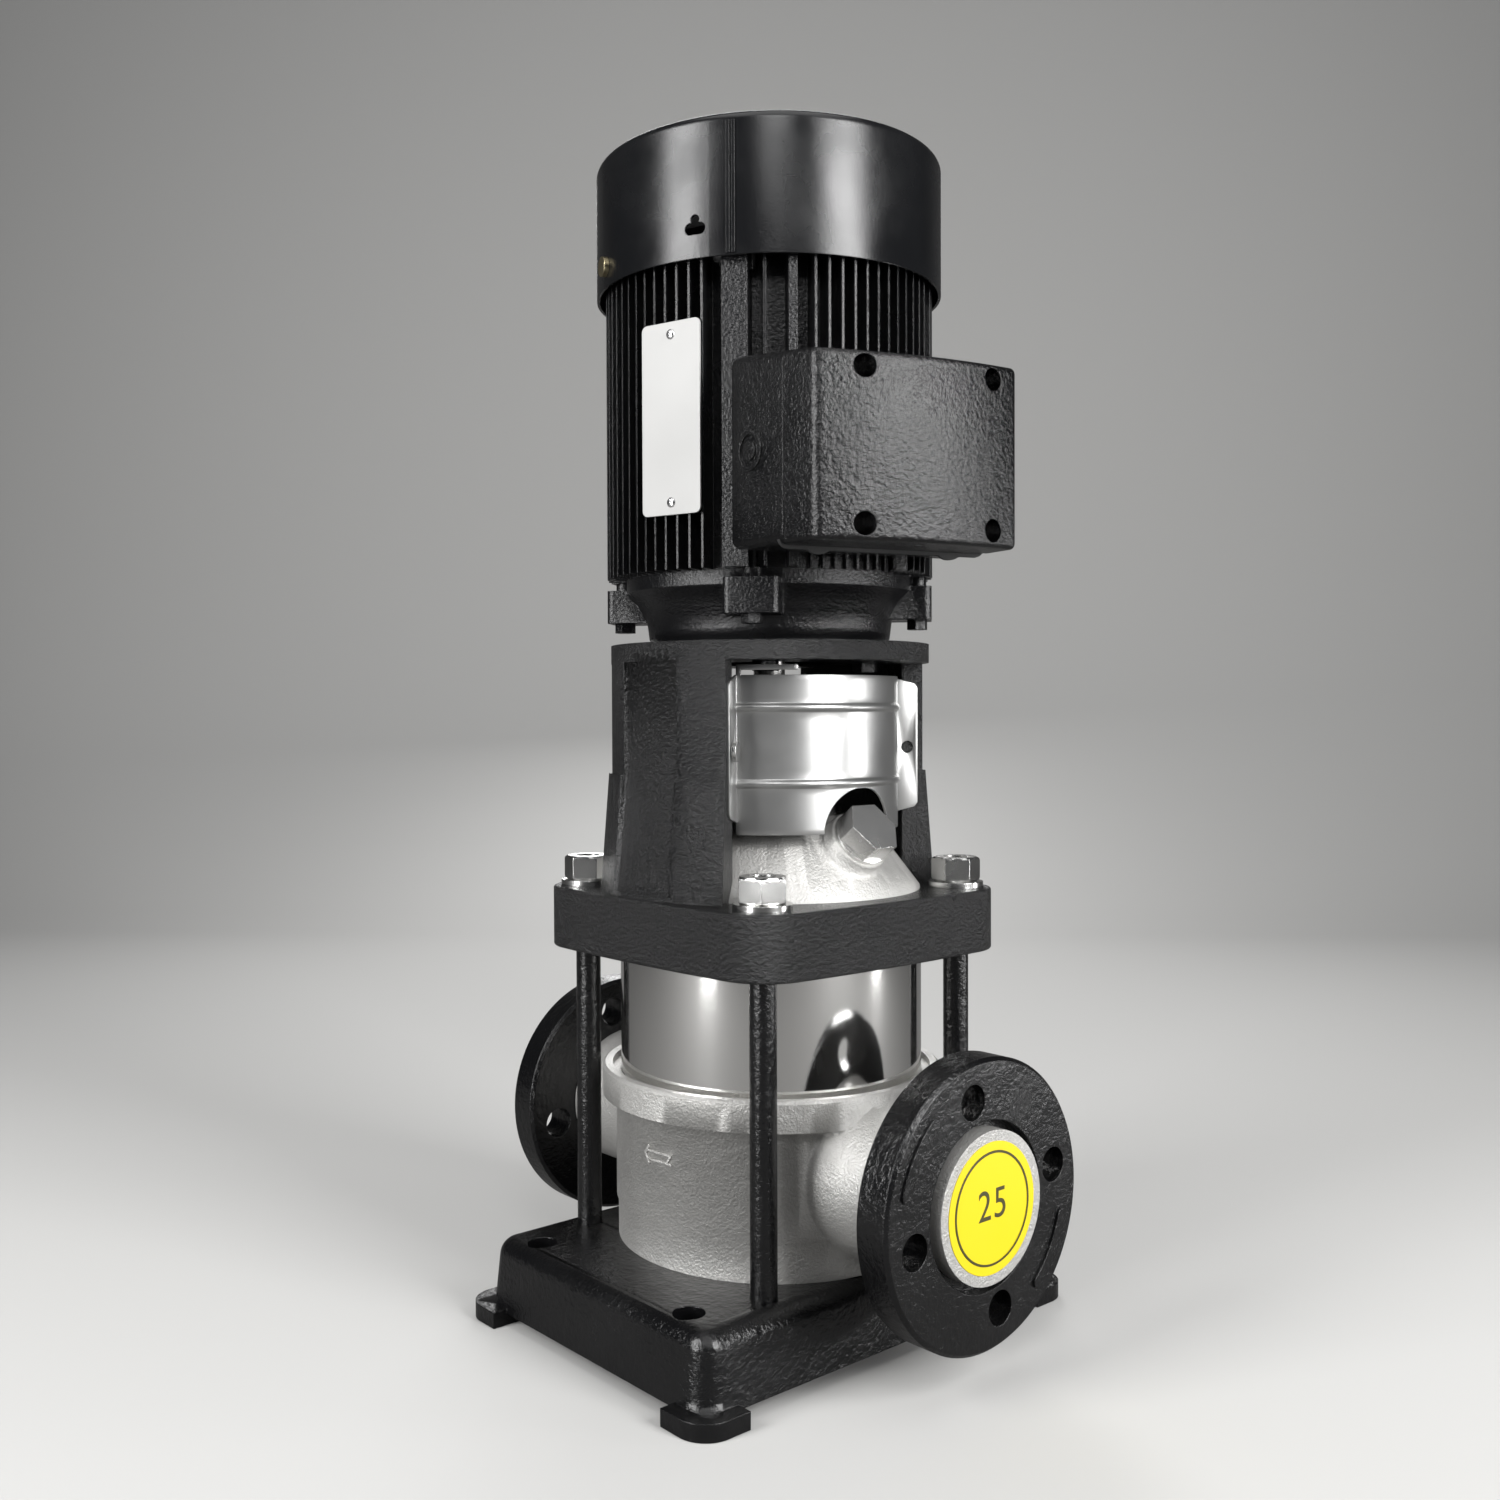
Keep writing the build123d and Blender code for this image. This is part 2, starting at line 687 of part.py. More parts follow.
with BuildPart() as seal_rotary_ring:
    rotary_top_z = head_top_z - 10 - running_gap
    add_ring(seal_chamber_r - 4, pump_shaft_r + fit_gap / 2, rotary_top_z - 5, rotary_top_z)
    add_ring(seal_chamber_r - 6, pump_shaft_r + fit_gap / 2, rotary_top_z - 17, rotary_top_z - 5)
save(seal_rotary_ring, "seal_rotary_ring")

# ---------------------------------------------------------------- motor stool
# One iron casting: square clamping ring, two flared legs and the motor's seat.
leg_sweep = 2 * leg_half_angle
ring_side = ring_half + ring_bulge


def add_sector(outer_r, inner_r, low_z, high_z, middle, half_angle, mode=Mode.ADD):
    """Adds part of a ring that spans half_angle each side of a middle angle."""
    with BuildSketch(Plane.XY.offset(low_z)) as section:
        Circle(outer_r)
        if inner_r > 0:
            Circle(inner_r, mode=Mode.SUBTRACT)
        with BuildLine():
            reach = outer_r * 2
            tips = around(reach, [middle - half_angle, middle + half_angle])
            Polyline((0, 0), tips[0], around(reach, [middle])[0], tips[1], close=True)
        make_face(mode=Mode.INTERSECT)
    extrude(section.sketch, amount=high_z - low_z, mode=mode)


with BuildPart() as motor_stool:
    # clamping ring with slightly bowed sides and rounded corners over the tie rods
    with BuildSketch(Plane.XY.offset(ring_low_z)) as clamp_outline:
        with BuildLine():
            for turn in range(4):
                ends = around(ring_half * sqrt(2), [45 + 90 * turn, 135 + 90 * turn])
                middle = around(ring_side, [90 + 90 * turn])[0]
                ThreePointArc(ends[0], middle, ends[1])
        make_face()
        fillet(clamp_outline.vertices(), ring_corner_r)
    extrude(amount=ring_top_z - ring_low_z)
    clamp_rims = motor_stool.faces().filter_by(Axis.Z).edges()
    fillet(clamp_rims, 1.2)
    # two legs, flared below and set back between their edge strips
    for side in (90, 270):
        add_sector(leg_r, leg_inner_r, leg_flare_z, stool_top_z - 1, side, leg_half_angle)
        with BuildSketch(Plane.XZ) as flare:
            with BuildLine():
                Polyline(
                    (leg_inner_r, ring_top_z - 1),
                    (leg_flare_r + 0.4, ring_top_z - 1),
                    (leg_r + leg_step, leg_flare_z),
                    (leg_inner_r, leg_flare_z),
                    close=True,
                )
            make_face()
        flare_start = flare.sketch.rotate(Axis.Z, side - leg_half_angle)
        revolve(flare_start, axis=Axis.Z, revolution_arc=leg_sweep)
        with BuildSketch(Plane.XZ) as panel:
            with BuildLine():
                Polyline(
                    (leg_flare_r + 5, ring_top_z + 2),
                    (leg_flare_r - panel_depth, ring_top_z + 2),
                    (leg_r - panel_depth, leg_flare_z),
                    (leg_r - panel_depth, stool_top_z - stool_flange_t),
                    (leg_flare_r + 5, stool_top_z - stool_flange_t),
                    close=True,
                )
            make_face()
        panel_start = panel.sketch.rotate(Axis.Z, side - panel_half_angle)
        revolve(panel_start, axis=Axis.Z, revolution_arc=2 * panel_half_angle, mode=Mode.SUBTRACT)
    add_ring(leg_r, 0, stool_top_z - stool_flange_t, stool_top_z)
    # bores: motor spigot, pump head seat from below, head neck, tie rods, motor bolts
    add_ring(stool_spigot_r + fit_gap, 0, stool_top_z - 20, stool_top_z, Mode.SUBTRACT)
    add_ring(head_flange_r + fit_gap, 0, ring_low_z, head_shoulder_z, Mode.SUBTRACT)
    add_ring(head_neck_r + fit_gap, 0, head_shoulder_z, ring_top_z + 0.01, Mode.SUBTRACT)
    add_turned(
        [
            (0, ring_top_z - 1),
            (head_neck_r + fit_gap, ring_top_z - 1),
            (head_neck_r + fit_gap, ring_top_z + 1.1),
            (head_cone_top_r + 2 * sheet_gap, head_cone_top_z),
            (0, head_cone_top_z),
        ],
        Mode.SUBTRACT,
    )
    add_rods(rod_r + 0.6, ring_low_z, ring_top_z, rod_centres, Mode.SUBTRACT)
    stool_bolts = around(motor_bolt_circle_r, quarter_angles)
    add_rods(motor_bolt_r + 0.4, stool_top_z - 20, stool_top_z, stool_bolts, Mode.SUBTRACT)
save(motor_stool, "motor_stool")

# ---------------------------------------------------------------- coupling
coupling_bolts_z = [coupling_low_z + 11, coupling_high_z - 11]


def build_coupling_half(facing):
    """One clamping half of the coupling, on the +Y (1) or -Y (-1) side of the shafts."""
    with BuildPart() as half:
        add_turned(
            [
                (0, coupling_low_z),
                (coupling_r - 2, coupling_low_z),
                (coupling_r, coupling_low_z + 2),
                (coupling_r, coupling_high_z - 2),
                (coupling_r - 2, coupling_high_z),
                (0, coupling_high_z),
            ]
        )
        with BuildSketch(Plane.XY.offset(coupling_low_z)) as other_side:
            with Locations((0, facing * (coupling_split / 2 - coupling_r))):
                Rectangle(4 * coupling_r, 2 * coupling_r)
        extrude(other_side.sketch, amount=coupling_high_z - coupling_low_z, mode=Mode.SUBTRACT)
        # shaft seats, the relief between them, and spot faces for the bolts
        middle_z = (pump_shaft_top_z + motor_shaft_low_z) / 2
        add_ring(pump_shaft_r + fit_gap / 2, 0, coupling_low_z, middle_z, Mode.SUBTRACT)
        add_ring(motor_shaft_r + fit_gap / 2, 0, middle_z, coupling_high_z, Mode.SUBTRACT)
        for bolt_z in coupling_bolts_z:
            for bolt_x in (-coupling_bolt_x, coupling_bolt_x):
                with BuildSketch(Plane.XZ.offset(-facing * coupling_bolt_seat)) as spot:
                    with Locations((bolt_x, bolt_z)):
                        Circle(coupling_head_r + 0.5)
                extrude(spot.sketch, amount=-facing * coupling_r, mode=Mode.SUBTRACT)
                with BuildSketch(Plane.XZ) as hole:
                    with Locations((bolt_x, bolt_z)):
                        Circle(coupling_bolt_r + fit_gap / 2)
                extrude(hole.sketch, amount=coupling_r, both=True, mode=Mode.SUBTRACT)
        with BuildSketch(Plane.XZ) as pin_seat:
            with Locations((0, coupling_pin_z)):
                Circle(coupling_pin_r + fit_gap / 2)
        extrude(pin_seat.sketch, amount=coupling_pin_len / 2, both=True, mode=Mode.SUBTRACT)
    return half


save(build_coupling_half(-1), "coupling_half_front")
save(build_coupling_half(1), "coupling_half_rear")

with BuildPart() as coupling_bolts:
    with BuildSketch(Plane.XZ.offset(coupling_bolt_seat)) as heads:
        for bolt_z in coupling_bolts_z:
            with Locations((-coupling_bolt_x, bolt_z), (coupling_bolt_x, bolt_z)):
                Circle(coupling_head_r)
    extrude(heads.sketch, amount=4)
    with BuildSketch(Plane.XZ.offset(coupling_bolt_seat)) as shanks:
        for bolt_z in coupling_bolts_z:
            with Locations((-coupling_bolt_x, bolt_z), (coupling_bolt_x, bolt_z)):
                Circle(coupling_bolt_r)
    extrude(shanks.sketch, amount=-2 * coupling_bolt_seat)
save(coupling_bolts, "coupling_bolts")

with BuildPart() as coupling_pin:
    with BuildSketch(Plane.XZ) as pin_section:
        with Locations((0, coupling_pin_z)):
            Circle(coupling_pin_r)
    extrude(pin_section.sketch, amount=coupling_pin_len / 2, both=True)
save(coupling_pin, "coupling_pin")

# ---------------------------------------------------------------- coupling guards
# Bent sheet covers over the two windows, screwed to the legs' end faces.
guard_half_angle = 90 - leg_half_angle


def build_guard(middle, has_arch):
    """One guard: a beaded arc of sheet with a flat lug along each upright edge."""
    with BuildPart() as guard:
        arc_half = guard_half_angle - degrees(sheet_gap / guard_r)
        add_sector(guard_r, guard_r - guard_sheet, guard_low_z, guard_high_z, middle, arc_half)
        for bead_z in (bead_low_z, bead_high_z):
            add_sector(
                guard_r + bead_h, guard_r - 0.2, bead_z - bead_h, bead_z + bead_h, middle, arc_half
            )
        for side in (-1, 1):
            edge = radians(middle + side * arc_half)
            along = Vector(cos(edge), sin(edge), 0)
            inward = Vector(sin(edge), -cos(edge), 0) * side
            lug_plane = Plane(
                origin=along * (guard_r - guard_sheet) + Vector(0, 0, guard_low_z),
                x_dir=along,
                z_dir=inward,
            )
            up = 1 if lug_plane.y_dir.Z > 0 else -1
            lug_w = guard_lug_r - guard_r + guard_sheet
            lug_h = guard_high_z - guard_low_z
            with BuildSketch(lug_plane) as lug:
                with BuildLine():
                    Polyline(
                        (0, up * lug_low),
                        (lug_w, up * (lug_low + lug_taper)),
                        (lug_w, up * (lug_h - lug_taper)),
                        (0, up * lug_h),
                        close=True,
                    )
                make_face()
                with Locations((lug_w * 0.56, up * (guard_screw_z - guard_low_z))):
                    Circle(guard_hole_r, mode=Mode.SUBTRACT)
            extrude(lug.sketch, amount=guard_sheet)
        if has_arch:
            with BuildSketch(Plane.YZ.offset(guard_r - 30)) as arch:
                with Locations((0, guard_low_z)):
                    Circle(guard_arch_r)
            extrude(arch.sketch, amount=40, mode=Mode.SUBTRACT)
            strip_start, strip_end = strip_angles
            strip_middle = (strip_start + strip_end) / 2
            strip_half = (strip_end - strip_start) / 2
            inner_r = guard_r - guard_sheet
            add_sector(guard_r, inner_r, strip_low_z, strip_high_z, strip_middle, strip_half)
            tie = strip_start + strip_tie / 2
            add_sector(guard_r, inner_r, guard_high_z - 1, strip_low_z + 1, tie, strip_tie / 2)
    return guard


save(build_guard(0, True), "coupling_guard_front")
save(build_guard(180, False), "coupling_guard_rear")

# ---------------------------------------------------------------- motor end shields
# The shield sits on the stool by a spigot and holds the lower bearing.
ear_angles = [angle + motor_clocking for angle in quarter_angles]
ear_points = around(ear_screw_r, ear_angles)
with BuildPart() as drive_end_shield:
    add_turned(
        [
            (bearing_inner_r + 2, stool_top_z - 3),
            (stool_spigot_r, stool_top_z - 3),
            (stool_spigot_r, stool_top_z),
            (shield_face_r, stool_top_z),
            (shield_face_r, stool_top_z + 1.5),
            (shield_face_r + 2.4, stool_top_z + 2.5),
            (shield_face_r + 3.4, stool_top_z + 10),
            (shield_rim_r - 5, stool_top_z + 18),
            (shield_rim_r, ear_high_z - 2),
            (shield_rim_r, frame_low_z),
            (frame_bore_r - fit_gap, frame_low_z),
            (frame_bore_r - fit_gap, frame_low_z + 4),
            (frame_bore_r - 4, frame_low_z + 4),
            (frame_bore_r - 4, stool_top_z + 26),
            (shield_face_r - 4, stool_top_z + 12),
            (bearing_outer_r + 6, stool_top_z + 12),
            (bearing_outer_r + 6, drive_bearing_z + bearing_w),
            (bearing_outer_r + fit_gap / 2, drive_bearing_z + bearing_w),
            (bearing_outer_r + fit_gap / 2, drive_bearing_z),
            (bearing_inner_r + 2, drive_bearing_z),
        ]
    )
    # four ears that the frame's screws pass through
    with BuildSketch(Plane.XY.offset(ear_low_z)) as ears:
        with PolarLocations((ear_r + shield_face_r) / 2, 4, start_angle=ear_angles[0]):
            RectangleRounded(ear_r - shield_face_r, ear_w, 3)
    extrude(ears.sketch, amount=ear_high_z - ear_low_z)
    with BuildSketch(Plane.XY.offset(ear_high_z)) as ear_pads:
        with Locations(*ear_points):
            Circle(ear_pad_r)
    extrude(ear_pads.sketch, amount=frame_low_z - ear_high_z)
    add_ring(frame_bore_r - 4, bearing_outer_r + 6, stool_top_z + 26, frame_low_z + 4, Mode.SUBTRACT)
    add_rods(
        ear_bolt_r + fit_gap, ear_low_z, frame_low_z, ear_points, Mode.SUBTRACT
    )
    add_rods(motor_bolt_r + fit_gap / 2, stool_top_z, stool_top_z + 9, stool_bolts, Mode.SUBTRACT)
save(drive_end_shield, "drive_end_shield")

with BuildPart() as motor_bolts:
    bolt_head_z = stool_top_z - stool_flange_t
    add_hexes(motor_bolt_af, bolt_head_z - 4, bolt_head_z, stool_bolts)
    add_rods(motor_bolt_r, bolt_head_z, stool_top_z + 8, stool_bolts)
save(motor_bolts, "motor_bolts")

# ---------------------------------------------------------------- motor frame
# Finned shell. Each corner has a plain column with a broad pad, a thin rib and a strip.
fin_pitch = 360 / fin_count
column_low = motor_clocking - column_left
column_high = motor_clocking + column_right


def is_finned(angle):
    """True where the shell carries a cooling fin at this angle."""
    turn = (angle - 45) % 90
    turn = turn - 90 if turn > 45 else turn
    near_column = column_low - 1 < turn < column_high + 1
    near_plate_rib = abs((angle - plate_angle + 180) % 360 - 180) < fin_pitch * 0.8
    return not near_column and not near_plate_rib


with BuildPart() as motor_frame:
    with BuildSketch(Plane.XY.offset(frame_low_z)) as shell:
        Circle(frame_root_r)
        fin_angles = [n * fin_pitch for n in range(fin_count) if is_finned(n * fin_pitch)]
        fin_inner = frame_root_r - 1
        for angle in fin_angles:
            with Locations(Location(around((fin_inner + fin_r) / 2, [angle])[0] + (0,), angle)):
                Rectangle(fin_r - fin_inner, fin_t)
        for corner in ear_angles:
            for offset_angle, width in column_strips:
                strip_angle = corner + offset_angle
                strip_at = around((fin_inner + fin_r - 0.7) / 2, [strip_angle])[0] + (0,)
                with Locations(Location(strip_at, strip_angle)):
                    Rectangle(fin_r - 0.7 - fin_inner, width)
        rib_at = around((fin_inner + fin_r) / 2, [plate_angle])[0] + (0,)
        with Locations(Location(rib_at, plate_angle)):
            Rectangle(fin_r - fin_inner, 5)
        Circle(frame_bore_r, mode=Mode.SUBTRACT)
    extrude(shell.sketch, amount=frame_top_z - frame_low_z)
    # bosses for the end shields' screws at both ends
    for boss_z in (frame_low_z, frame_top_z - 12):
        add_rods(ear_pad_r + 0.6, boss_z, boss_z + 12, ear_points)
    # flat seat for the terminal box
    box_seat_plane = radial_plane(box_angle, box_seat, box_center_z)
    with BuildSketch(box_seat_plane) as seat_clearance:
        Rectangle(box_seat_w + 10, box_seat_h + 2)
    extrude(seat_clearance.sketch, amount=12, mode=Mode.SUBTRACT)
    with BuildSketch(box_seat_plane) as seat_pad:
        Rectangle(box_seat_pad_w, box_seat_h - 4)
    extrude(seat_pad.sketch, amount=-(box_seat - frame_bore_r - 1))
    add_ring(frame_bore_r, 0, frame_low_z, frame_top_z, Mode.SUBTRACT)
    # tapped holes for the end shields and for the nameplate's rivets
    for hole_z in (frame_low_z, frame_top_z - 9):
        add_rods(ear_bolt_r + fit_gap / 2, hole_z, hole_z + 9, ear_points, Mode.SUBTRACT)
    for rivet_z in (plate_low_z + rivet_inset, plate_high_z - rivet_inset):
        with BuildSketch(radial_plane(plate_angle, fin_r - rivet_len, rivet_z)) as rivet_hole:
            Circle(rivet_r + fit_gap / 2)
        extrude(rivet_hole.sketch, amount=20, mode=Mode.SUBTRACT)
    for screw_x in (-box_screw_x, box_screw_x):
        for screw_y in (-box_screw_y, box_screw_y):
            with BuildSketch(box_seat_plane) as box_hole:
                with Locations((screw_x, screw_y)):
                    Circle(box_screw_r + fit_gap / 2)
            extrude(box_hole.sketch, amount=-5, mode=Mode.SUBTRACT)
save(motor_frame, "motor_frame")

# ---------------------------------------------------------------- stator and rotor
with BuildPart() as stator_core:
    with BuildSketch(Plane.XY.offset(stator_low_z)) as lamination:
        Circle(frame_bore_r)
        Circle(stator_bore_r, mode=Mode.SUBTRACT)
        with PolarLocations((slot_inner_r + slot_outer_r) / 2, slot_count):
            Rectangle(slot_outer_r - slot_inner_r, slot_w, mode=Mode.SUBTRACT)
    extrude(amount=stator_high_z - stator_low_z)
save(stator_core, "stator_core")

with BuildPart() as stator_windings:
    for low_z in (stator_low_z - winding_h, stator_high_z):
        add_turned(
            [
                (slot_inner_r, low_z),
                (slot_outer_r, low_z),
                (slot_outer_r + 2, low_z + winding_h / 2),
                (slot_outer_r, low_z + winding_h),
                (slot_inner_r, low_z + winding_h),
                (slot_inner_r - 1, low_z + winding_h / 2),
            ]
        )
    with BuildSketch(Plane.XY.offset(stator_low_z)) as slot_fill:
        with PolarLocations((slot_inner_r + slot_outer_r) / 2, slot_count):
            Rectangle(slot_outer_r - slot_inner_r - 0.4, slot_w - 0.4)
    extrude(slot_fill.sketch, amount=stator_high_z - stator_low_z)
save(stator_windings, "stator_windings")

rotor_r = stator_bore_r - air_gap
with BuildPart() as rotor_core:
    add_ring(rotor_r, motor_core_r + fit_gap / 2, stator_low_z, stator_high_z)
    for ring_z in (stator_low_z - end_ring_h, stator_high_z):
        add_ring(rotor_r - 2, rotor_r - 11, ring_z, ring_z + end_ring_h)
save(rotor_core, "rotor_core")

fan_bearing_top_z = fan_bearing_z + bearing_w
with BuildPart() as motor_shaft:
    add_turned(
        [
            (0, motor_shaft_low_z),
            (motor_shaft_r - 0.8, motor_shaft_low_z),
            (motor_shaft_r, motor_shaft_low_z + 0.8),
            (motor_shaft_r, drive_bearing_z - 6),
            (bearing_inner_r, drive_bearing_z - 6),
            (bearing_inner_r, drive_bearing_z + bearing_w),
            (motor_core_r, drive_bearing_z + bearing_w),
            (motor_core_r, fan_bearing_z),
            (bearing_inner_r, fan_bearing_z),
            (bearing_inner_r, fan_bearing_top_z),
            (fan_shaft_r, fan_bearing_top_z),
            (fan_shaft_r, fan_low_z + fan_hub_h + 3),
            (0, fan_low_z + fan_hub_h + 3),
        ]
    )
save(motor_shaft, "motor_shaft")

# Two sealed ball bearings: outer rings with their shields, and inner rings on the shaft.
bearing_lows = [drive_bearing_z, fan_bearing_z]
with BuildPart() as bearing_outer_rings:
    for low_z in bearing_lows:
        add_ring(bearing_outer_r, bearing_outer_r - 3, low_z, low_z + bearing_w)
        for shield_z in (low_z + 0.5, low_z + bearing_w - 1.3):
            add_ring(bearing_outer_r - 2, bearing_inner_r + 3.3, shield_z, shield_z + 0.8)
save(bearing_outer_rings, "bearing_outer_rings")

with BuildPart() as bearing_inner_rings:
    for low_z in bearing_lows:
        add_ring(bearing_inner_r + 3, bearing_inner_r, low_z, low_z + bearing_w)
save(bearing_inner_rings, "bearing_inner_rings")

# ---------------------------------------------------------------- fan end of the motor
cowl_bore_r = cowl_r - cowl_sheet
with BuildPart() as fan_end_shield:
    add_turned(
        [
            (bearing_inner_r + 2, fan_bearing_top_z + 2),
            (bearing_inner_r + 2, fan_bearing_top_z),
            (bearing_outer_r + fit_gap / 2, fan_bearing_top_z),
            (bearing_outer_r + fit_gap / 2, fan_bearing_z),
            (bearing_outer_r + 5, fan_bearing_z),
            (bearing_outer_r + 5, frame_top_z + 1),
            (frame_bore_r - 4, frame_top_z + 1),
            (frame_bore_r - 4, frame_top_z - 4),
            (frame_bore_r - fit_gap, frame_top_z - 4),
            (frame_bore_r - fit_gap, frame_top_z),
            (frame_root_r, frame_top_z),
            (frame_root_r, frame_top_z + 5),
            (bearing_outer_r + 8, frame_top_z + 5),
            (bearing_outer_r + 4, fan_bearing_top_z + 2),
        ]
    )
    # ears for the frame's screws, and two longer ones that carry the cowl
    with BuildSketch(Plane.XY.offset(frame_top_z)) as upper_ears:
        with PolarLocations((ear_r - 2 + shield_face_r) / 2, 4, start_angle=ear_angles[0]):
            RectangleRounded(ear_r - 2 - shield_face_r, ear_w - 8, 3)
    extrude(upper_ears.sketch, amount=5)
    for angle in cowl_screw_angles:
        with BuildSketch(radial_plane(angle, frame_root_r - 3, cowl_screw_z)) as cowl_ear:
            Rectangle(12, 9)
        extrude(cowl_ear.sketch, amount=cowl_bore_r - frame_root_r + 2.6)
        with BuildSketch(radial_plane(angle, cowl_bore_r - 9, cowl_screw_z)) as cowl_hole:
            Circle(cowl_screw_r + fit_gap / 2)
        extrude(cowl_hole.sketch, amount=20, mode=Mode.SUBTRACT)
    add_rods(
        ear_bolt_r + fit_gap, frame_top_z, frame_top_z + 6, ear_points, Mode.SUBTRACT
    )
save(fan_end_shield, "fan_end_shield")

# Screws that hold the two end shields to the frame.
with BuildPart() as frame_screws:
    add_hexes(ear_bolt_af, ear_low_z - 4, ear_low_z, ear_points)
    add_rods(ear_bolt_r, ear_low_z, frame_low_z + 8, ear_points)
    add_hexes(ear_bolt_af, frame_top_z + 5, frame_top_z + 9, ear_points)
    add_rods(ear_bolt_r, frame_top_z - 8, frame_top_z + 5, ear_points)
save(frame_screws, "frame_screws")

with BuildPart() as cooling_fan:
    add_ring(fan_hub_r, fan_shaft_r + fit_gap / 2, fan_low_z, fan_low_z + fan_hub_h)
    add_ring(fan_tip_r - 8, fan_shaft_r + fit_gap / 2, fan_low_z, fan_low_z + 2)
    with BuildSketch(Plane.XY.offset(fan_low_z)) as fan_blades:
        with PolarLocations((fan_hub_r + fan_tip_r) / 2 - 0.5, fan_blade_count):
            Rectangle(fan_tip_r - fan_hub_r + 1, 2)
    extrude(fan_blades.sketch, amount=fan_hub_h)
save(cooling_fan, "cooling_fan")

with BuildPart() as fan_clip:
    clip_z = fan_low_z + fan_hub_h
    add_ring(fan_shaft_r + 3, fan_shaft_r, clip_z, clip_z + 1)
save(fan_clip, "fan_clip")

# Pressed cowl: a drum with a rounded shoulder and a slotted air inlet on top.
with BuildPart() as fan_cowl:
    with BuildSketch(Plane.XZ) as cowl_section:
        with BuildLine():
            Line((cowl_r, cowl_low_z), (cowl_r, cowl_top_z - cowl_shoulder_r))
            shoulder = cowl_shoulder_r * (1 - sqrt(0.5))
            ThreePointArc(
                (cowl_r, cowl_top_z - cowl_shoulder_r),
                (cowl_r - shoulder, cowl_top_z - shoulder),
                (cowl_r - cowl_shoulder_r, cowl_top_z),
            )
            Polyline(
                (cowl_r - cowl_shoulder_r, cowl_top_z),
                (0, cowl_top_z),
                (0, cowl_top_z - cowl_sheet),
                (cowl_r - cowl_shoulder_r, cowl_top_z - cowl_sheet),
                (cowl_bore_r, cowl_top_z - cowl_shoulder_r),
                (cowl_bore_r, cowl_low_z),
                (cowl_r, cowl_low_z),
            )
        make_face()
    revolve(axis=Axis.Z)
    # radial air slots and a plain hub disc in the middle
    with BuildSketch(Plane.XY.offset(cowl_top_z - 2 * cowl_sheet)) as grille:
        with PolarLocations((grille_inner_r + grille_outer_r) / 2, grille_slots):
            SlotOverall(grille_outer_r - grille_inner_r, grille_slot_w)
    extrude(grille.sketch, amount=3 * cowl_sheet, mode=Mode.SUBTRACT)
    for angle in cowl_screw_angles:
        with BuildSketch(radial_plane(angle, cowl_r - 4, cowl_screw_z)) as screw_hole:
            Circle(cowl_screw_r + fit_gap)
        extrude(screw_hole.sketch, amount=6, mode=Mode.SUBTRACT)
    for angle in cowl_slot_angles:
        with BuildSketch(radial_plane(angle, cowl_r - 4, cowl_slot_z)) as spare_slot:
            SlotOverall(cowl_slot_w, cowl_slot_h)
            with Locations((0, cowl_slot_h * 0.75)):
                Circle(cowl_slot_h * 0.4)
        extrude(spare_slot.sketch, amount=6, mode=Mode.SUBTRACT)
save(fan_cowl, "fan_cowl")

with BuildPart() as cowl_screws:
    for angle in cowl_screw_angles:
        with BuildSketch(radial_plane(angle, cowl_r + 0.02, cowl_screw_z)) as screw_head:
            Circle(cowl_screw_r * 1.9)
        extrude(screw_head.sketch, amount=cowl_screw_r)
        with BuildSketch(radial_plane(angle, cowl_r + 0.02, cowl_screw_z)) as screw_shank:
            Circle(cowl_screw_r)
        extrude(screw_shank.sketch, amount=-8)
save(cowl_screws, "cowl_screws")

# ---------------------------------------------------------------- nameplate
plate_z = (plate_low_z + plate_high_z) / 2
rivet_ys = [(plate_low_z + rivet_inset) - plate_z, (plate_high_z - rivet_inset) - plate_z]
with BuildPart() as nameplate:
    with BuildSketch(radial_plane(plate_angle, fin_r + plate_seat, plate_z)):
        RectangleRounded(plate_w, plate_high_z - plate_low_z, 2.5)
        with Locations((0, rivet_ys[0]), (0, rivet_ys[1])):
            Circle(rivet_r + fit_gap / 2, mode=Mode.SUBTRACT)
    extrude(amount=plate_t)
save(nameplate, "nameplate")

with BuildPart() as nameplate_rivets:
    rivet_seat = fin_r + plate_seat + plate_t
    with BuildSketch(radial_plane(plate_angle, rivet_seat, plate_z)) as rivet_heads:
        with Locations((0, rivet_ys[0]), (0, rivet_ys[1])):
            Circle(rivet_r * 1.8)
    extrude(rivet_heads.sketch, amount=0.8)
    with BuildSketch(radial_plane(plate_angle, rivet_seat, plate_z)) as rivet_shanks:
        with Locations((0, rivet_ys[0]), (0, rivet_ys[1])):
            Circle(rivet_r)
    extrude(rivet_shanks.sketch, amount=-rivet_len)
save(nameplate_rivets, "nameplate_rivets")

# ---------------------------------------------------------------- terminal box
# Drafted cast box: base on the frame's seat, gasket, and a lid with a crowned face.
box_depth = box_edge - box_seat
lid_start = box_split - box_seat + gasket_t
corner_spots = [(sx * lid_screw_x, sy * lid_screw_y) for sx in (-1, 1) for sy in (-1, 1)]
box_plane = radial_plane(box_angle, box_seat, box_center_z)


def box_section(depth, inset=0.0):
    """Width and height of the drafted box at a depth from its seat."""
    share = depth / box_depth
    width = box_seat_w + (box_edge_w - box_seat_w) * share - 2 * inset
    height = box_seat_h + (box_edge_h - box_seat_h) * share - 2 * inset
    return width, height


def add_box_block(low, high, inset=0.0, mode=Mode.ADD):
    """Adds a drafted block with rounded corners between two depths from the seat."""
    sections = []
    for depth in (low, high):
        with BuildSketch(box_plane.offset(depth)) as outline:
            RectangleRounded(*box_section(depth, inset), max(box_corner_r - inset, 1.5))
        sections.append(outline.sketch)
    loft(sections, ruled=True, mode=mode)


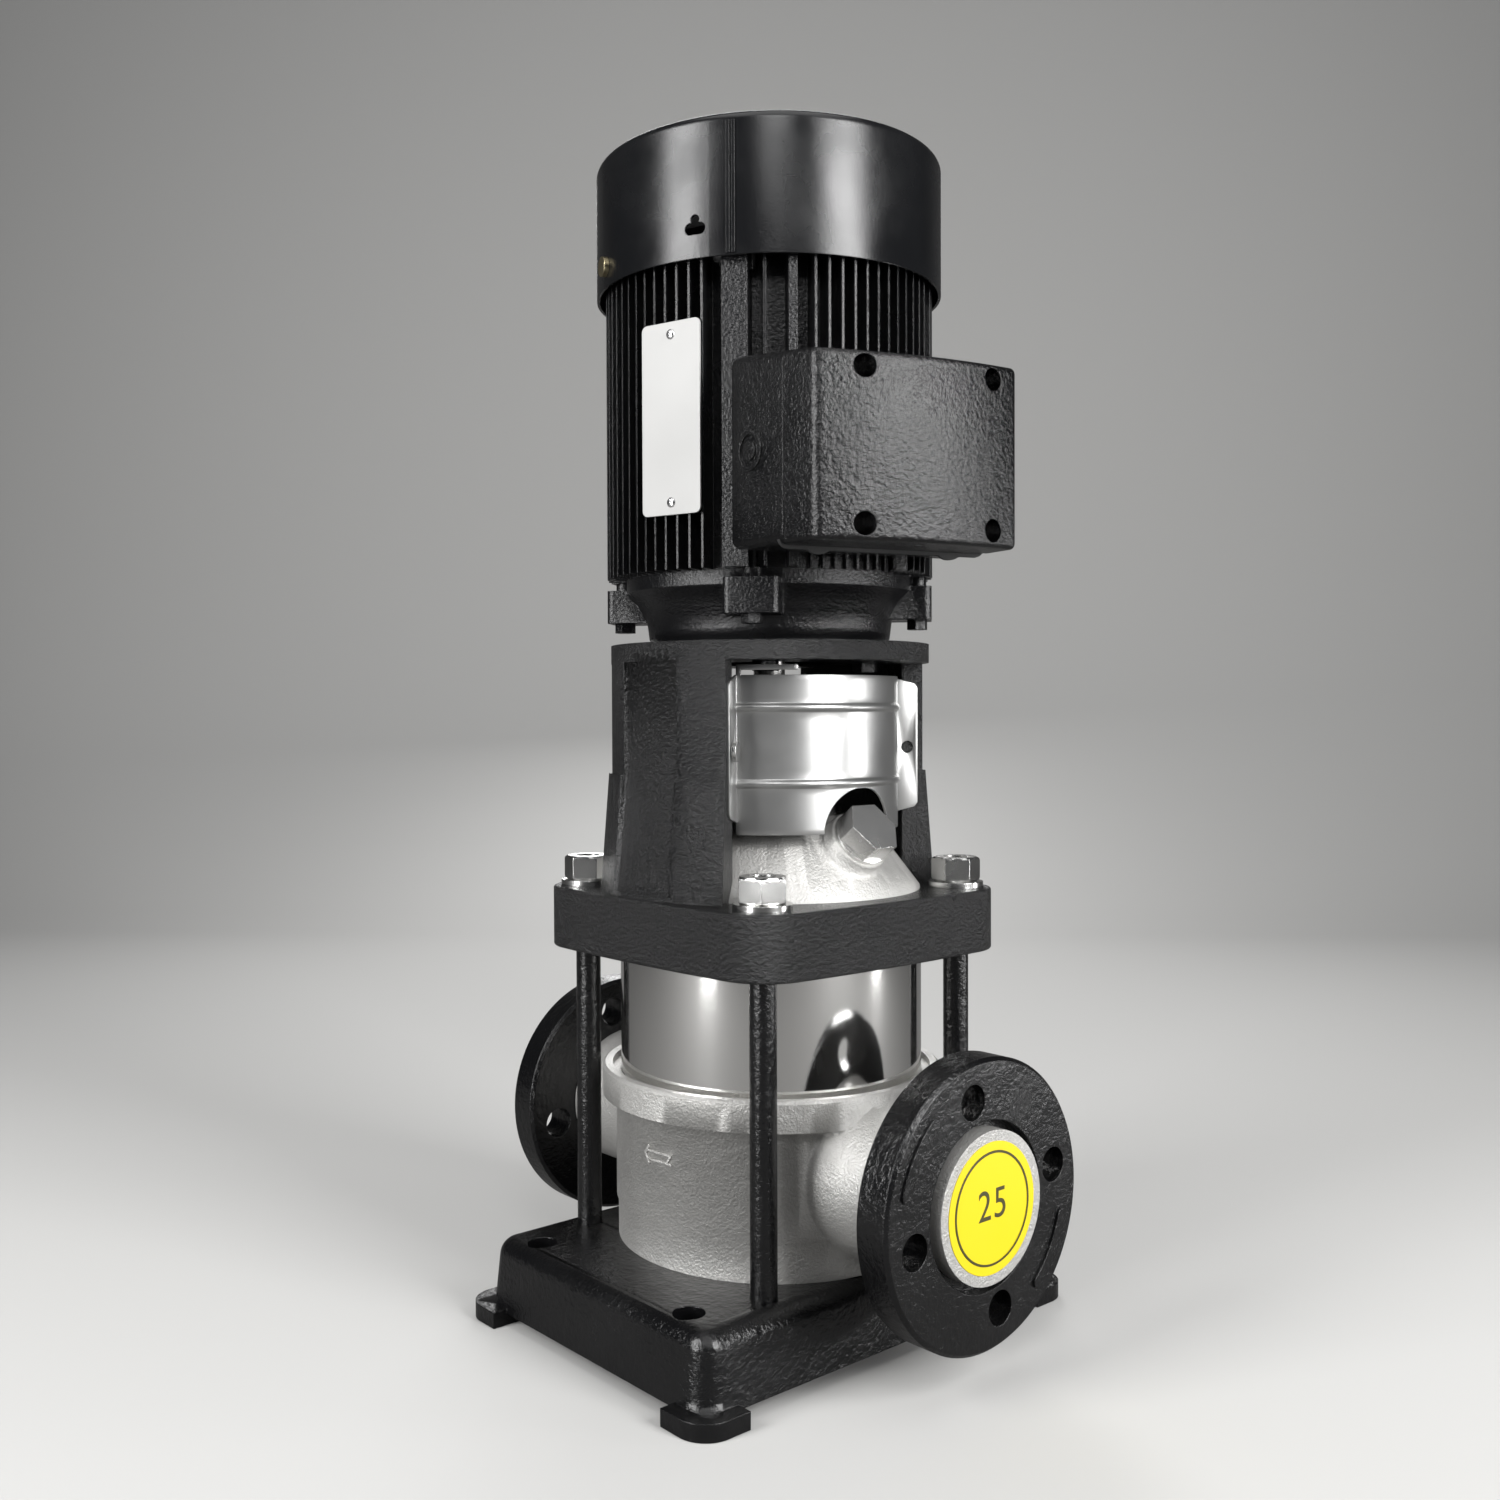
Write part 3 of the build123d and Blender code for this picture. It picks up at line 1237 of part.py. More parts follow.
def add_box_posts(radius, low, high, centres, mode=Mode.ADD):
    """Adds round posts square to the box's seat between two depths."""
    with BuildSketch(box_plane.offset(low)) as posts:
        with Locations(*centres):
            Circle(radius)
    extrude(posts.sketch, amount=high - low, mode=mode)


with BuildPart() as terminal_box_base:
    add_box_block(0, box_split - box_seat)
    add_box_block(box_wall, box_split - box_seat, box_wall, Mode.SUBTRACT)
    add_box_posts(lid_post_r, box_wall - 1, box_split - box_seat, corner_spots)
    add_box_posts(lid_screw_r + fit_gap / 2, 8, box_split - box_seat, corner_spots, Mode.SUBTRACT)
    inner_screws = [(sx * box_screw_x, sy * box_screw_y) for sx in (-1, 1) for sy in (-1, 1)]
    add_box_posts(box_screw_r + fit_gap, 0, box_wall, inner_screws, Mode.SUBTRACT)
    # raised knock-out rings for cable entries on both side walls
    wall_lean = degrees(atan((box_seat_w - box_edge_w) / 2 / box_depth))
    for side in (-1, 1):
        wall_at = box_plane.from_local_coords((side * box_section(knockout_depth)[0] / 2, 0, knockout_depth))
        outward = box_plane.x_dir * side * cos(radians(wall_lean))
        outward = outward + box_plane.z_dir * sin(radians(wall_lean))
        with BuildSketch(Plane(origin=wall_at, x_dir=(0, 0, 1), z_dir=outward)) as knockout:
            Circle(knockout_r)
            Circle(knockout_r - 1.6, mode=Mode.SUBTRACT)
            Circle(knockout_r - 4)
        extrude(knockout.sketch, amount=0.8)
save(terminal_box_base, "terminal_box_base")

with BuildPart() as terminal_box_gasket:
    add_box_block(box_split - box_seat, lid_start, 0.6)
    add_box_block(box_split - box_seat, lid_start, box_wall, Mode.SUBTRACT)
    add_box_posts(lid_post_r, box_split - box_seat, lid_start, corner_spots)
    add_box_posts(lid_screw_r + fit_gap, box_split - box_seat, lid_start, corner_spots, Mode.SUBTRACT)
save(terminal_box_gasket, "terminal_box_gasket")

crown_rise = box_crown - box_edge
crown_r = (crown_rise**2 + (box_edge_w / 2) ** 2) / (2 * crown_rise)
with BuildPart() as terminal_box_lid:
    add_box_block(lid_start, box_crown - box_seat + 1)
    crown_centre = around(box_crown - crown_r, [box_angle])
    with BuildSketch(Plane.XY.offset(box_center_z - box_seat_h)) as crown:
        with Locations(*crown_centre):
            Circle(crown_r)
    extrude(crown.sketch, amount=2 * box_seat_h, mode=Mode.INTERSECT)
    add_box_block(lid_start, box_depth - box_wall, box_wall, Mode.SUBTRACT)
    add_box_posts(lid_post_r, lid_start, box_depth - box_wall + 1, corner_spots)
    add_box_posts(lid_recess_r, lid_recess_z, box_depth + 10, corner_spots, Mode.SUBTRACT)
    add_box_posts(lid_screw_r + fit_gap, lid_start, lid_recess_z, corner_spots, Mode.SUBTRACT)
save(terminal_box_lid, "terminal_box_lid")

with BuildPart() as lid_screws:
    add_box_posts(lid_screw_r * 1.7, lid_recess_z, lid_recess_z + 3.5, corner_spots)
    add_box_posts(lid_screw_r, 10, lid_recess_z, corner_spots)
save(lid_screws, "lid_screws")

with BuildPart() as terminal_box_screws:
    add_box_posts(box_screw_r * 1.8, box_wall, box_wall + 2.4, inner_screws)
    add_box_posts(box_screw_r, -4, box_wall, inner_screws)
save(terminal_box_screws, "terminal_box_screws")

stud_spots = [(sx * 11, sy * 7) for sx in (-1, 0, 1) for sy in (-1, 1)]
with BuildPart() as terminal_block:
    with BuildSketch(box_plane.offset(box_wall)) as block:
        RectangleRounded(40, 26, 2)
    extrude(block.sketch, amount=10)
    add_box_posts(2, box_wall + 4, box_wall + 10, stud_spots, Mode.SUBTRACT)
save(terminal_block, "terminal_block")

with BuildPart() as terminal_studs:
    add_box_posts(2, box_wall + 4, box_wall + 17, stud_spots)
    add_box_posts(3.6, box_wall + 10, box_wall + 13, stud_spots)
save(terminal_studs, "terminal_studs")

# ---------------------------------------------------------------- loose port flanges

def build_flange(side):
    """A loose ring flange behind the port's lip, on the +X (1) or -X (-1) side."""
    back_x = port_face_x - flange_set_back - flange_t
    recess_t = port_lip_t - flange_set_back + sheet_gap
    with BuildPart() as flange:
        with BuildSketch(Plane.YZ.offset(side * back_x)) as disc:
            with Locations((0, port_z)):
                Circle(flange_r)
        extrude(disc.sketch, amount=side * flange_t)
        chamfer(flange.edges(), flange_edge)
        with BuildSketch(Plane.YZ.offset(side * back_x)) as bore:
            with Locations((0, port_z)):
                Circle(port_neck_r + fit_gap)
                with PolarLocations(flange_pcd / 2, 4, start_angle=flange_clocking):
                    Circle(flange_hole_r)
        extrude(bore.sketch, amount=side * flange_t, mode=Mode.SUBTRACT)
        with BuildSketch(Plane.YZ.offset(side * (back_x + flange_t))) as recess:
            with Locations((0, port_z)):
                Circle(flange_recess_r)
        extrude(recess.sketch, amount=-side * recess_t, mode=Mode.SUBTRACT)
    return flange


save(build_flange(1), "inlet_flange")
save(build_flange(-1), "outlet_flange")

# ---------------------------------------------------------------- guard screws
with BuildPart() as guard_screws:
    for middle, side in ((0, -1), (180, -1)):
        edge_angle = middle + side * (guard_half_angle - degrees(sheet_gap / guard_r))
        edge = radians(edge_angle)
        along = Vector(cos(edge), sin(edge), 0)
        inward = Vector(sin(edge), -cos(edge), 0) * side
        lug_w = guard_lug_r - guard_r + guard_sheet
        at = along * (guard_r - guard_sheet + lug_w * 0.56) + Vector(0, 0, guard_screw_z)
        screw_plane = Plane(origin=at + inward * guard_sheet, x_dir=along, z_dir=inward)
        with BuildSketch(screw_plane) as guard_head:
            Circle(guard_hole_r + 1.4)
        extrude(guard_head.sketch, amount=1.8)
        with BuildSketch(screw_plane) as guard_shank:
            Circle(guard_hole_r - 0.8)
        extrude(guard_shank.sketch, amount=-guard_sheet)
save(guard_screws, "guard_screws")
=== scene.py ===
# %% [markdown]
# # A vertical multistage pump, dressed for rendering
# The pump stands on a cast base. A polished sleeve holds the stages, four tie rods clamp
# it under an iron stool, and a finned motor with a fan cowl stands on top.
# The solid model arrives first and is never moved: it is the frame that every piece fits.

# %% Load the frame
import json
import math

import bmesh
import bpy
from mathutils import Matrix, Vector

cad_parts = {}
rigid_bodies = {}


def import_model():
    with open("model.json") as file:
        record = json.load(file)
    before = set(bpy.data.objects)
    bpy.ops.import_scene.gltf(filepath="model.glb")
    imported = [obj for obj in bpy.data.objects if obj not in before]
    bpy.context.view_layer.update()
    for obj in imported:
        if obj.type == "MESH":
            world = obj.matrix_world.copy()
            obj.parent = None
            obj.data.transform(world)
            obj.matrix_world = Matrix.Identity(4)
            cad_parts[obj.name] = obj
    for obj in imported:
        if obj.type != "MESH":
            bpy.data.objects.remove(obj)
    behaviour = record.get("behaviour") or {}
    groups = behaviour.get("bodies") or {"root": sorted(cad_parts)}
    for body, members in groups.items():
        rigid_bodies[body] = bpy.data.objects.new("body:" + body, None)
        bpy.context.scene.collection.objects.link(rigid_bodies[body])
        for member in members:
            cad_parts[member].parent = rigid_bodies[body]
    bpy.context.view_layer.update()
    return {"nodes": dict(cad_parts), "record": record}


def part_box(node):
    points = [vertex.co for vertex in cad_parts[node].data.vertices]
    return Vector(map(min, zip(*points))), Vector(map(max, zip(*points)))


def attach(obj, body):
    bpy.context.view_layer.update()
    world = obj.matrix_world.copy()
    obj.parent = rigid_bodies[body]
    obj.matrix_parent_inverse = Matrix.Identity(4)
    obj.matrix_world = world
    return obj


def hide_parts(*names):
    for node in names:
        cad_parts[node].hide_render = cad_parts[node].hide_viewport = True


for leftover in list(bpy.data.objects):
    bpy.data.objects.remove(leftover)
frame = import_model()
nodes = frame["nodes"]
body_of_node = {n: b for b, names in frame["record"]["behaviour"]["bodies"].items() for n in names}
slot_of_node = {row["node"]: row["material_slot"] for row in frame["record"]["subparts"]}

# %% [markdown]
# ## Camera
# The view is that of a person crouching a little in front of the inlet side, at the height
# of the motor stool. The lens is a moderate wide angle, so the base is seen from above
# while the cowl is seen from below. A small shift sets the object off the middle.

# %% Camera
camera_data = bpy.data.cameras.new("studio_camera")
camera_data.lens = 35.6
camera_data.sensor_width = 36
camera_data.shift_x = 0.0369
camera_data.shift_y = -0.0083
camera = bpy.data.objects.new("studio_camera", camera_data)
bpy.context.scene.collection.objects.link(camera)
camera.location = (0.4866, -0.4537, 0.2678)
camera.rotation_euler = [math.radians(a) for a in (88.921, 0.236, 49.886)]
bpy.context.scene.camera = camera
print("camera stands", round(camera.location.xy.length, 3), "m from the shaft")

# %% [markdown]
# ## Floor and backdrop
# Black paint only shows its shape through what it reflects, so the stage matters as much
# as the paint. A pale floor curves up into a pale wall, one seamless sweep. The Light Path
# node lets the lens see it pale while the pump sees a dimmer room, as a dark studio does.

# %% Floor and backdrop
def stage_colour(tree, seen, felt):
    """A grey that the lens sees as one level and every other ray as another."""
    path = tree.nodes.new("ShaderNodeLightPath")
    mix = tree.nodes.new("ShaderNodeMix")
    mix.data_type = "RGBA"
    mix.inputs["A"].default_value = (*felt, 1)
    mix.inputs["B"].default_value = (*seen, 1)
    tree.links.new(path.outputs["Is Camera Ray"], mix.inputs["Factor"])
    return mix.outputs["Result"]


pale_paper = bpy.data.materials.new("pale_paper")
pale_paper.use_nodes = True
paper_shader = pale_paper.node_tree.nodes["Principled BSDF"]
paper_shader.inputs["Roughness"].default_value = 0.9
paper_colour = stage_colour(pale_paper.node_tree, (0.48, 0.477, 0.467), (0.13, 0.128, 0.125))
pale_paper.node_tree.links.new(paper_colour, paper_shader.inputs["Base Color"])

sweep = bmesh.new()
sweep_profile = [(-2.2, 0.0), (1.1, 0.0)]
sweep_profile += [
    (1.1 + 0.6 * math.sin(math.radians(a)), 0.6 - 0.6 * math.cos(math.radians(a)))
    for a in range(10, 91, 10)
]
sweep_profile += [(1.7, 2.6)]
turn = Matrix.Rotation(math.radians(47), 4, "Z")
rows = []
for along, height in sweep_profile:
    ends = [turn @ Vector((side, along, height - 0.0002)) for side in (-3.0, 3.0)]
    rows.append([sweep.verts.new(p) for p in ends])
for lower, upper in zip(rows, rows[1:]):
    sweep.faces.new((lower[0], lower[1], upper[1], upper[0]))
sweep_mesh = bpy.data.meshes.new("studio_sweep")
sweep.to_mesh(sweep_mesh)
sweep.free()
studio_sweep = bpy.data.objects.new("studio_sweep", sweep_mesh)
bpy.context.scene.collection.objects.link(studio_sweep)
for face in sweep_mesh.polygons:
    face.use_smooth = True
sweep_mesh.materials.append(pale_paper)

world = bpy.data.worlds.new("studio_world")
world.use_nodes = True
background = world.node_tree.nodes["Background"]
room_colour = stage_colour(world.node_tree, (0.66, 0.66, 0.65), (0.035, 0.037, 0.041))
world.node_tree.links.new(room_colour, background.inputs["Color"])
background.inputs["Strength"].default_value = 1.0
bpy.context.scene.world = world
print("sweep built from", len(sweep_profile), "profile points")

# %% [markdown]
# ## Studio light
# A round black thing is drawn by the lamps that it mirrors. Tall soft boxes on both sides
# put one upright highlight on each flank of the cowl, two low narrow ones put small glints
# on the mirror-bright sleeve, and an overhead box lights every surface that faces up.

# %% Studio light
def soft_box(name, bearing, distance, height, size, power, aim_height=0.28):
    """An area lamp at a bearing round the shaft, in degrees, that looks at the pump."""
    lamp_data = bpy.data.lights.new(name, "AREA")
    lamp_data.shape = "RECTANGLE"
    lamp_data.size, lamp_data.size_y = size
    lamp_data.energy = power
    lamp = bpy.data.objects.new(name, lamp_data)
    bpy.context.scene.collection.objects.link(lamp)
    lamp.location = (
        distance * math.cos(math.radians(bearing)), distance * math.sin(math.radians(bearing)), height
    )
    aim = Vector((0, 0, aim_height)) - lamp.location
    lamp.rotation_euler = aim.to_track_quat("-Z", "Y").to_euler()
    return lamp


soft_box("soft_box_left", -97, 1.25, 0.75, (0.5, 1.0), 20, 0.4)
soft_box("soft_box_right", 7, 1.35, 0.75, (0.55, 1.1), 30, 0.4)
soft_box("soft_box_front", -38, 1.3, 1.25, (0.4, 0.5), 4, 0.3)
soft_box("low_bar_left", -88, 1.0, 0.16, (0.2, 0.3), 2.5, 0.14)
soft_box("low_bar_right", 40, 1.0, 0.16, (0.16, 0.3), 2.5, 0.14)
soft_box("soft_box_top", -30, 0.35, 1.6, (1.2, 1.2), 6.5, 0.2)
soft_box("soft_box_back", 140, 1.3, 0.9, (0.5, 1.0), 10, 0.35)

# %% [markdown]
# ## Shared effects
# Several finishes need the same effects: the grain of a sand casting under paint, the lines
# that a lathe or a rolling mill leaves, and the dust and handling marks of a workshop.
# Each is a node group with named inputs, built once. A group hands out values and masks
# only, and each material decides what to do with them.

# %% Node group helpers
def new_group(name, inputs, outputs):
    """An empty shader group with float inputs and outputs, and its two end nodes."""
    tree = bpy.data.node_groups.new(name, "ShaderNodeTree")
    for label, value in inputs.items():
        socket = tree.interface.new_socket(label, in_out="INPUT", socket_type="NodeSocketFloat")
        socket.default_value = value
    for label in outputs:
        tree.interface.new_socket(label, in_out="OUTPUT", socket_type="NodeSocketFloat")
    return tree, tree.nodes.new("NodeGroupInput"), tree.nodes.new("NodeGroupOutput")


def math_node(tree, operation, first, second, clamp=False):
    """A math node whose two inputs may be numbers or other nodes' outputs."""
    node = tree.nodes.new("ShaderNodeMath")
    node.operation = operation
    node.use_clamp = clamp
    for socket, value in zip(node.inputs, (first, second)):
        if isinstance(value, (int, float)):
            socket.default_value = value
        else:
            tree.links.new(value, socket)
    return node.outputs[0]


def stretch(tree, value, low, high, out_low=0.0, out_high=1.0):
    """Maps a value from one range to another and clamps it there."""
    node = tree.nodes.new("ShaderNodeMapRange")
    tree.links.new(value, node.inputs["Value"])
    for label, number in zip(("From Min", "From Max", "To Min", "To Max"), (low, high, out_low, out_high)):
        node.inputs[label].default_value = number
    return node.outputs["Result"]


def noise(tree, vector, scale, detail=2.0, roughness=0.5):
    """A noise texture on a vector. The scale may be a number or another node's output."""
    node = tree.nodes.new("ShaderNodeTexNoise")
    tree.links.new(vector, node.inputs["Vector"])
    if isinstance(scale, (int, float)):
        node.inputs["Scale"].default_value = scale
    else:
        tree.links.new(scale, node.inputs["Scale"])
    node.inputs["Detail"].default_value = detail
    node.inputs["Roughness"].default_value = roughness
    return node.outputs["Fac"]


def object_point(tree):
    """The shaded point in the object's own coordinates, in metres."""
    return tree.nodes.new("ShaderNodeTexCoord").outputs["Object"]


def axis_split(tree, vector):
    """The X, Y and Z of a vector as three outputs."""
    node = tree.nodes.new("ShaderNodeSeparateXYZ")
    tree.links.new(vector, node.inputs[0])
    return node.outputs


print("helpers ready")

# %% Casting grain
casting_grain, grain_in, grain_out = new_group(
    "casting_grain", {"Grain Scale": 900.0, "Swell Scale": 60.0, "Swell": 0.5}, ["Height"]
)
point = object_point(casting_grain)
fine_sand = noise(casting_grain, point, grain_in.outputs["Grain Scale"], 4, 0.62)
slow_swell = noise(casting_grain, point, grain_in.outputs["Swell Scale"], 2, 0.5)
swell_part = math_node(casting_grain, "MULTIPLY", slow_swell, grain_in.outputs["Swell"])
grain_sum = math_node(casting_grain, "ADD", fine_sand, swell_part)
casting_grain.links.new(grain_sum, grain_out.inputs["Height"])
print("casting_grain built")

# %% Dust and handling marks
workshop_dust, dust_in, dust_out = new_group(
    "workshop_dust", {"Patch Scale": 30.0, "Speck Scale": 1500.0}, ["Dust", "Smudge"]
)
point = object_point(workshop_dust)
surface = workshop_dust.nodes.new("ShaderNodeNewGeometry")
facing_up = stretch(workshop_dust, axis_split(workshop_dust, surface.outputs["Normal"])[2], 0.35, 1.0)
patches = stretch(workshop_dust, noise(workshop_dust, point, dust_in.outputs["Patch Scale"], 4), 0.35, 0.7)
specks = stretch(workshop_dust, noise(workshop_dust, point, dust_in.outputs["Speck Scale"], 2), 0.45, 0.75)
lying = math_node(workshop_dust, "MULTIPLY", facing_up, patches)
dust_mask = math_node(workshop_dust, "MULTIPLY", lying, specks)
workshop_dust.links.new(dust_mask, dust_out.inputs["Dust"])
workshop_dust.links.new(patches, dust_out.inputs["Smudge"])
print("workshop_dust built")

# %% Lines left by a tool
tool_lines, lines_in, lines_out = new_group(
    "tool_lines", {"Across": 900.0, "Along": 12.0, "Turned": 0.0}, ["Lines"]
)
point = object_point(tool_lines)
parts = axis_split(tool_lines, point)
radius_squared = math_node(
    tool_lines, "ADD",
    math_node(tool_lines, "MULTIPLY", parts[0], parts[0]),
    math_node(tool_lines, "MULTIPLY", parts[1], parts[1]),
)
ring = math_node(tool_lines, "SQRT", radius_squared, 0)
angle = math_node(tool_lines, "ARCTAN2", parts[1], parts[0])
rounded = tool_lines.nodes.new("ShaderNodeCombineXYZ")
around_shaft = math_node(tool_lines, "MULTIPLY", angle, 0.06)
flat_way = math_node(tool_lines, "MULTIPLY", around_shaft, lines_in.outputs["Across"])
upright = math_node(tool_lines, "MULTIPLY", parts[2], lines_in.outputs["Along"])
tool_lines.links.new(flat_way, rounded.inputs[0])
tool_lines.links.new(upright, rounded.inputs[1])
turned_way = math_node(tool_lines, "MULTIPLY", ring, lines_in.outputs["Turned"])
tool_lines.links.new(turned_way, rounded.inputs[2])
line_noise = noise(tool_lines, rounded.outputs[0], 1.0, 3, 0.6)
tool_lines.links.new(line_noise, lines_out.inputs["Lines"])
print("tool_lines built")

# %% [markdown]
# ## Finishes
# One function makes every finish from a Principled BSDF. It rounds sharp edges a little in
# the shading with the Bevel node, adds a bump from a shared group and lets dust and marks
# change the colour and the roughness. Each finish then only states its own numbers.

# %% Finish builder
def use_group(tree, group, values):
    """Places a shared group in a material and sets its named inputs."""
    node = tree.nodes.new("ShaderNodeGroup")
    node.node_tree = group
    for label, value in values.items():
        node.inputs[label].default_value = value
    return node


def finish_paint(
    name, colour, roughness, metallic=0.0, coat=0.0, coat_roughness=0.1, group=casting_grain,
    group_values=None, bump_height="Height", bump_depth=0.0001, bump_strength=0.5,
    dust=0.3, dust_colour=(0.3, 0.29, 0.27), patchy=0.08, edge_radius=0.0004, tint=0.0,
):
    """A painted or metal finish with grain, soft edges, dust and uneven gloss."""
    material = bpy.data.materials.new(name)
    material.use_nodes = True
    tree = material.node_tree
    shader = tree.nodes["Principled BSDF"]
    shader.inputs["Metallic"].default_value = metallic
    shader.inputs["Coat Weight"].default_value = coat
    shader.inputs["Coat Roughness"].default_value = coat_roughness
    grain = use_group(tree, group, group_values or {})
    marks = use_group(tree, workshop_dust, {})
    edge = tree.nodes.new("ShaderNodeBevel")
    edge.samples = 4
    edge.inputs["Radius"].default_value = edge_radius
    bump = tree.nodes.new("ShaderNodeBump")
    bump.inputs["Strength"].default_value = bump_strength
    bump.inputs["Distance"].default_value = bump_depth
    tree.links.new(grain.outputs[bump_height], bump.inputs["Height"])
    tree.links.new(edge.outputs["Normal"], bump.inputs["Normal"])
    tree.links.new(bump.outputs["Normal"], shader.inputs["Normal"])
    uneven = stretch(tree, marks.outputs["Smudge"], 0, 1, roughness - patchy, roughness + patchy)
    tree.links.new(uneven, shader.inputs["Roughness"])
    mix = tree.nodes.new("ShaderNodeMix")
    mix.data_type = "RGBA"
    mix.inputs["A"].default_value = (*colour, 1)
    mix.inputs["B"].default_value = (*dust_colour, 1)
    amount = math_node(tree, "MULTIPLY", marks.outputs["Dust"], dust)
    if tint:
        toned = stretch(tree, grain.outputs[bump_height], 0.3, 0.9, 0, tint)
        amount = math_node(tree, "ADD", amount, toned, clamp=True)
    tree.links.new(amount, mix.inputs["Factor"])
    tree.links.new(mix.outputs["Result"], shader.inputs["Base Color"])
    return material


finishes = {}
print("finish builder ready")

# %% Black paints
black = (0.0035, 0.0035, 0.0038)
finishes["black_gloss_paint"] = finish_paint(
    "black_gloss_paint", black, 0.2,
    group_values={"Grain Scale": 420.0, "Swell Scale": 110.0, "Swell": 0.8},
    bump_depth=0.0007, bump_strength=0.7, dust=0.06, edge_radius=0.0007,
)
finishes["black_casting_paint"] = finish_paint(
    "black_casting_paint", black, 0.22,
    group_values={"Grain Scale": 620.0, "Swell Scale": 150.0, "Swell": 0.25},
    bump_depth=0.0016, bump_strength=1.0, dust=0.05, edge_radius=0.0009,
)
finishes["black_motor_paint"] = finish_paint(
    "black_motor_paint", (0.004, 0.004, 0.0045), 0.25,
    group_values={"Grain Scale": 800.0, "Swell Scale": 200.0, "Swell": 0.4},
    bump_depth=0.0006, bump_strength=0.6, dust=0.05, edge_radius=0.0005,
)
finishes["black_cowl_paint"] = finish_paint(
    "black_cowl_paint", (0.005, 0.0052, 0.0058), 0.26,
    group_values={"Grain Scale": 1300.0, "Swell Scale": 14.0, "Swell": 1.2},
    bump_depth=0.0002, bump_strength=0.25, dust=0.1, edge_radius=0.0005,
)
finishes["black_box_paint"] = finish_paint(
    "black_box_paint", black, 0.2,
    group_values={"Grain Scale": 560.0, "Swell Scale": 160.0, "Swell": 0.5},
    bump_depth=0.0009, bump_strength=0.7, dust=0.05, edge_radius=0.0008,
)
print("black paints:", len(finishes))

# %% Stainless steel and other metals
finishes["cast_stainless"] = finish_paint(
    "cast_stainless", (0.56, 0.555, 0.54), 0.42, metallic=0.55,
    group_values={"Grain Scale": 950.0, "Swell Scale": 240.0, "Swell": 0.7},
    bump_depth=0.0008, bump_strength=0.65, dust=0.15, tint=0.35, dust_colour=(0.34, 0.33, 0.31),
)
finishes["polished_stainless"] = finish_paint(
    "polished_stainless", (0.78, 0.775, 0.76), 0.09, metallic=1.0, group=tool_lines,
    group_values={"Across": 20.0, "Along": 1500.0}, bump_height="Lines",
    bump_depth=0.00002, bump_strength=0.25, dust=0.1, patchy=0.03, edge_radius=0.0002,
)
finishes["turned_stainless"] = finish_paint(
    "turned_stainless", (0.70, 0.695, 0.68), 0.24, metallic=0.9, group=tool_lines,
    group_values={"Across": 20.0, "Along": 3000.0, "Turned": 4000.0}, bump_height="Lines",
    bump_depth=0.0001, bump_strength=0.25, dust=0.1,
)
finishes["pressed_stainless"] = finish_paint(
    "pressed_stainless", (0.62, 0.62, 0.61), 0.3, metallic=1.0, group=tool_lines,
    group_values={"Across": 60.0, "Along": 900.0}, bump_height="Lines", bump_depth=0.0001,
)
finishes["guard_sheet"] = finish_paint(
    "guard_sheet", (0.42, 0.42, 0.415), 0.33, metallic=0.9, group=tool_lines,
    group_values={"Across": 14.0, "Along": 900.0}, bump_height="Lines",
    bump_depth=0.00004, bump_strength=0.25, dust=0.08, patchy=0.04,
)
finishes["zinc_bright"] = finish_paint(
    "zinc_bright", (0.60, 0.60, 0.59), 0.24, metallic=1.0,
    group_values={"Grain Scale": 1800.0, "Swell Scale": 300.0, "Swell": 0.6},
    bump_depth=0.00004, bump_strength=0.2, dust=0.15, patchy=0.05, tint=0.1,
    dust_colour=(0.28, 0.27, 0.25), edge_radius=0.0005,
)
finishes["zinc_yellow"] = finish_paint(
    "zinc_yellow", (0.66, 0.58, 0.36), 0.3, metallic=1.0,
    group_values={"Grain Scale": 1800.0, "Swell Scale": 400.0, "Swell": 0.6},
    bump_depth=0.0001, bump_strength=0.3, dust=0.2, tint=0.2, dust_colour=(0.4, 0.28, 0.2),
)
finishes["bearing_steel"] = finish_paint(
    "bearing_steel", (0.6, 0.6, 0.61), 0.22, metallic=1.0, bump_strength=0.1
)
finishes["lamination_steel"] = finish_paint(
    "lamination_steel", (0.3, 0.3, 0.31), 0.4, metallic=1.0, group=tool_lines,
    group_values={"Across": 5.0, "Along": 2000.0}, bump_height="Lines", bump_depth=0.0002,
)
finishes["winding_copper"] = finish_paint(
    "winding_copper", (0.45, 0.17, 0.06), 0.35, metallic=0.8, coat=0.4, bump_strength=0.4
)
finishes["coupling_iron"] = finish_paint(
    "coupling_iron", (0.24, 0.24, 0.25), 0.4, metallic=1.0, bump_strength=0.5
)
finishes["nameplate_foil"] = finish_paint(
    "nameplate_foil", (0.40, 0.398, 0.39), 0.5, metallic=0.1, group=tool_lines,
    group_values={"Across": 30.0, "Along": 1500.0}, bump_height="Lines",
    bump_depth=0.00003, bump_strength=0.3, dust=0.1, patchy=0.04, edge_radius=0.0002,
)
finishes["rivet_aluminium"] = finish_paint(
    "rivet_aluminium", (0.7, 0.7, 0.7), 0.28, metallic=1.0, bump_strength=0.2
)
finishes["stud_brass"] = finish_paint(
    "stud_brass", (0.62, 0.44, 0.18), 0.28, metallic=1.0, bump_strength=0.2
)
print("metals:", len(finishes))

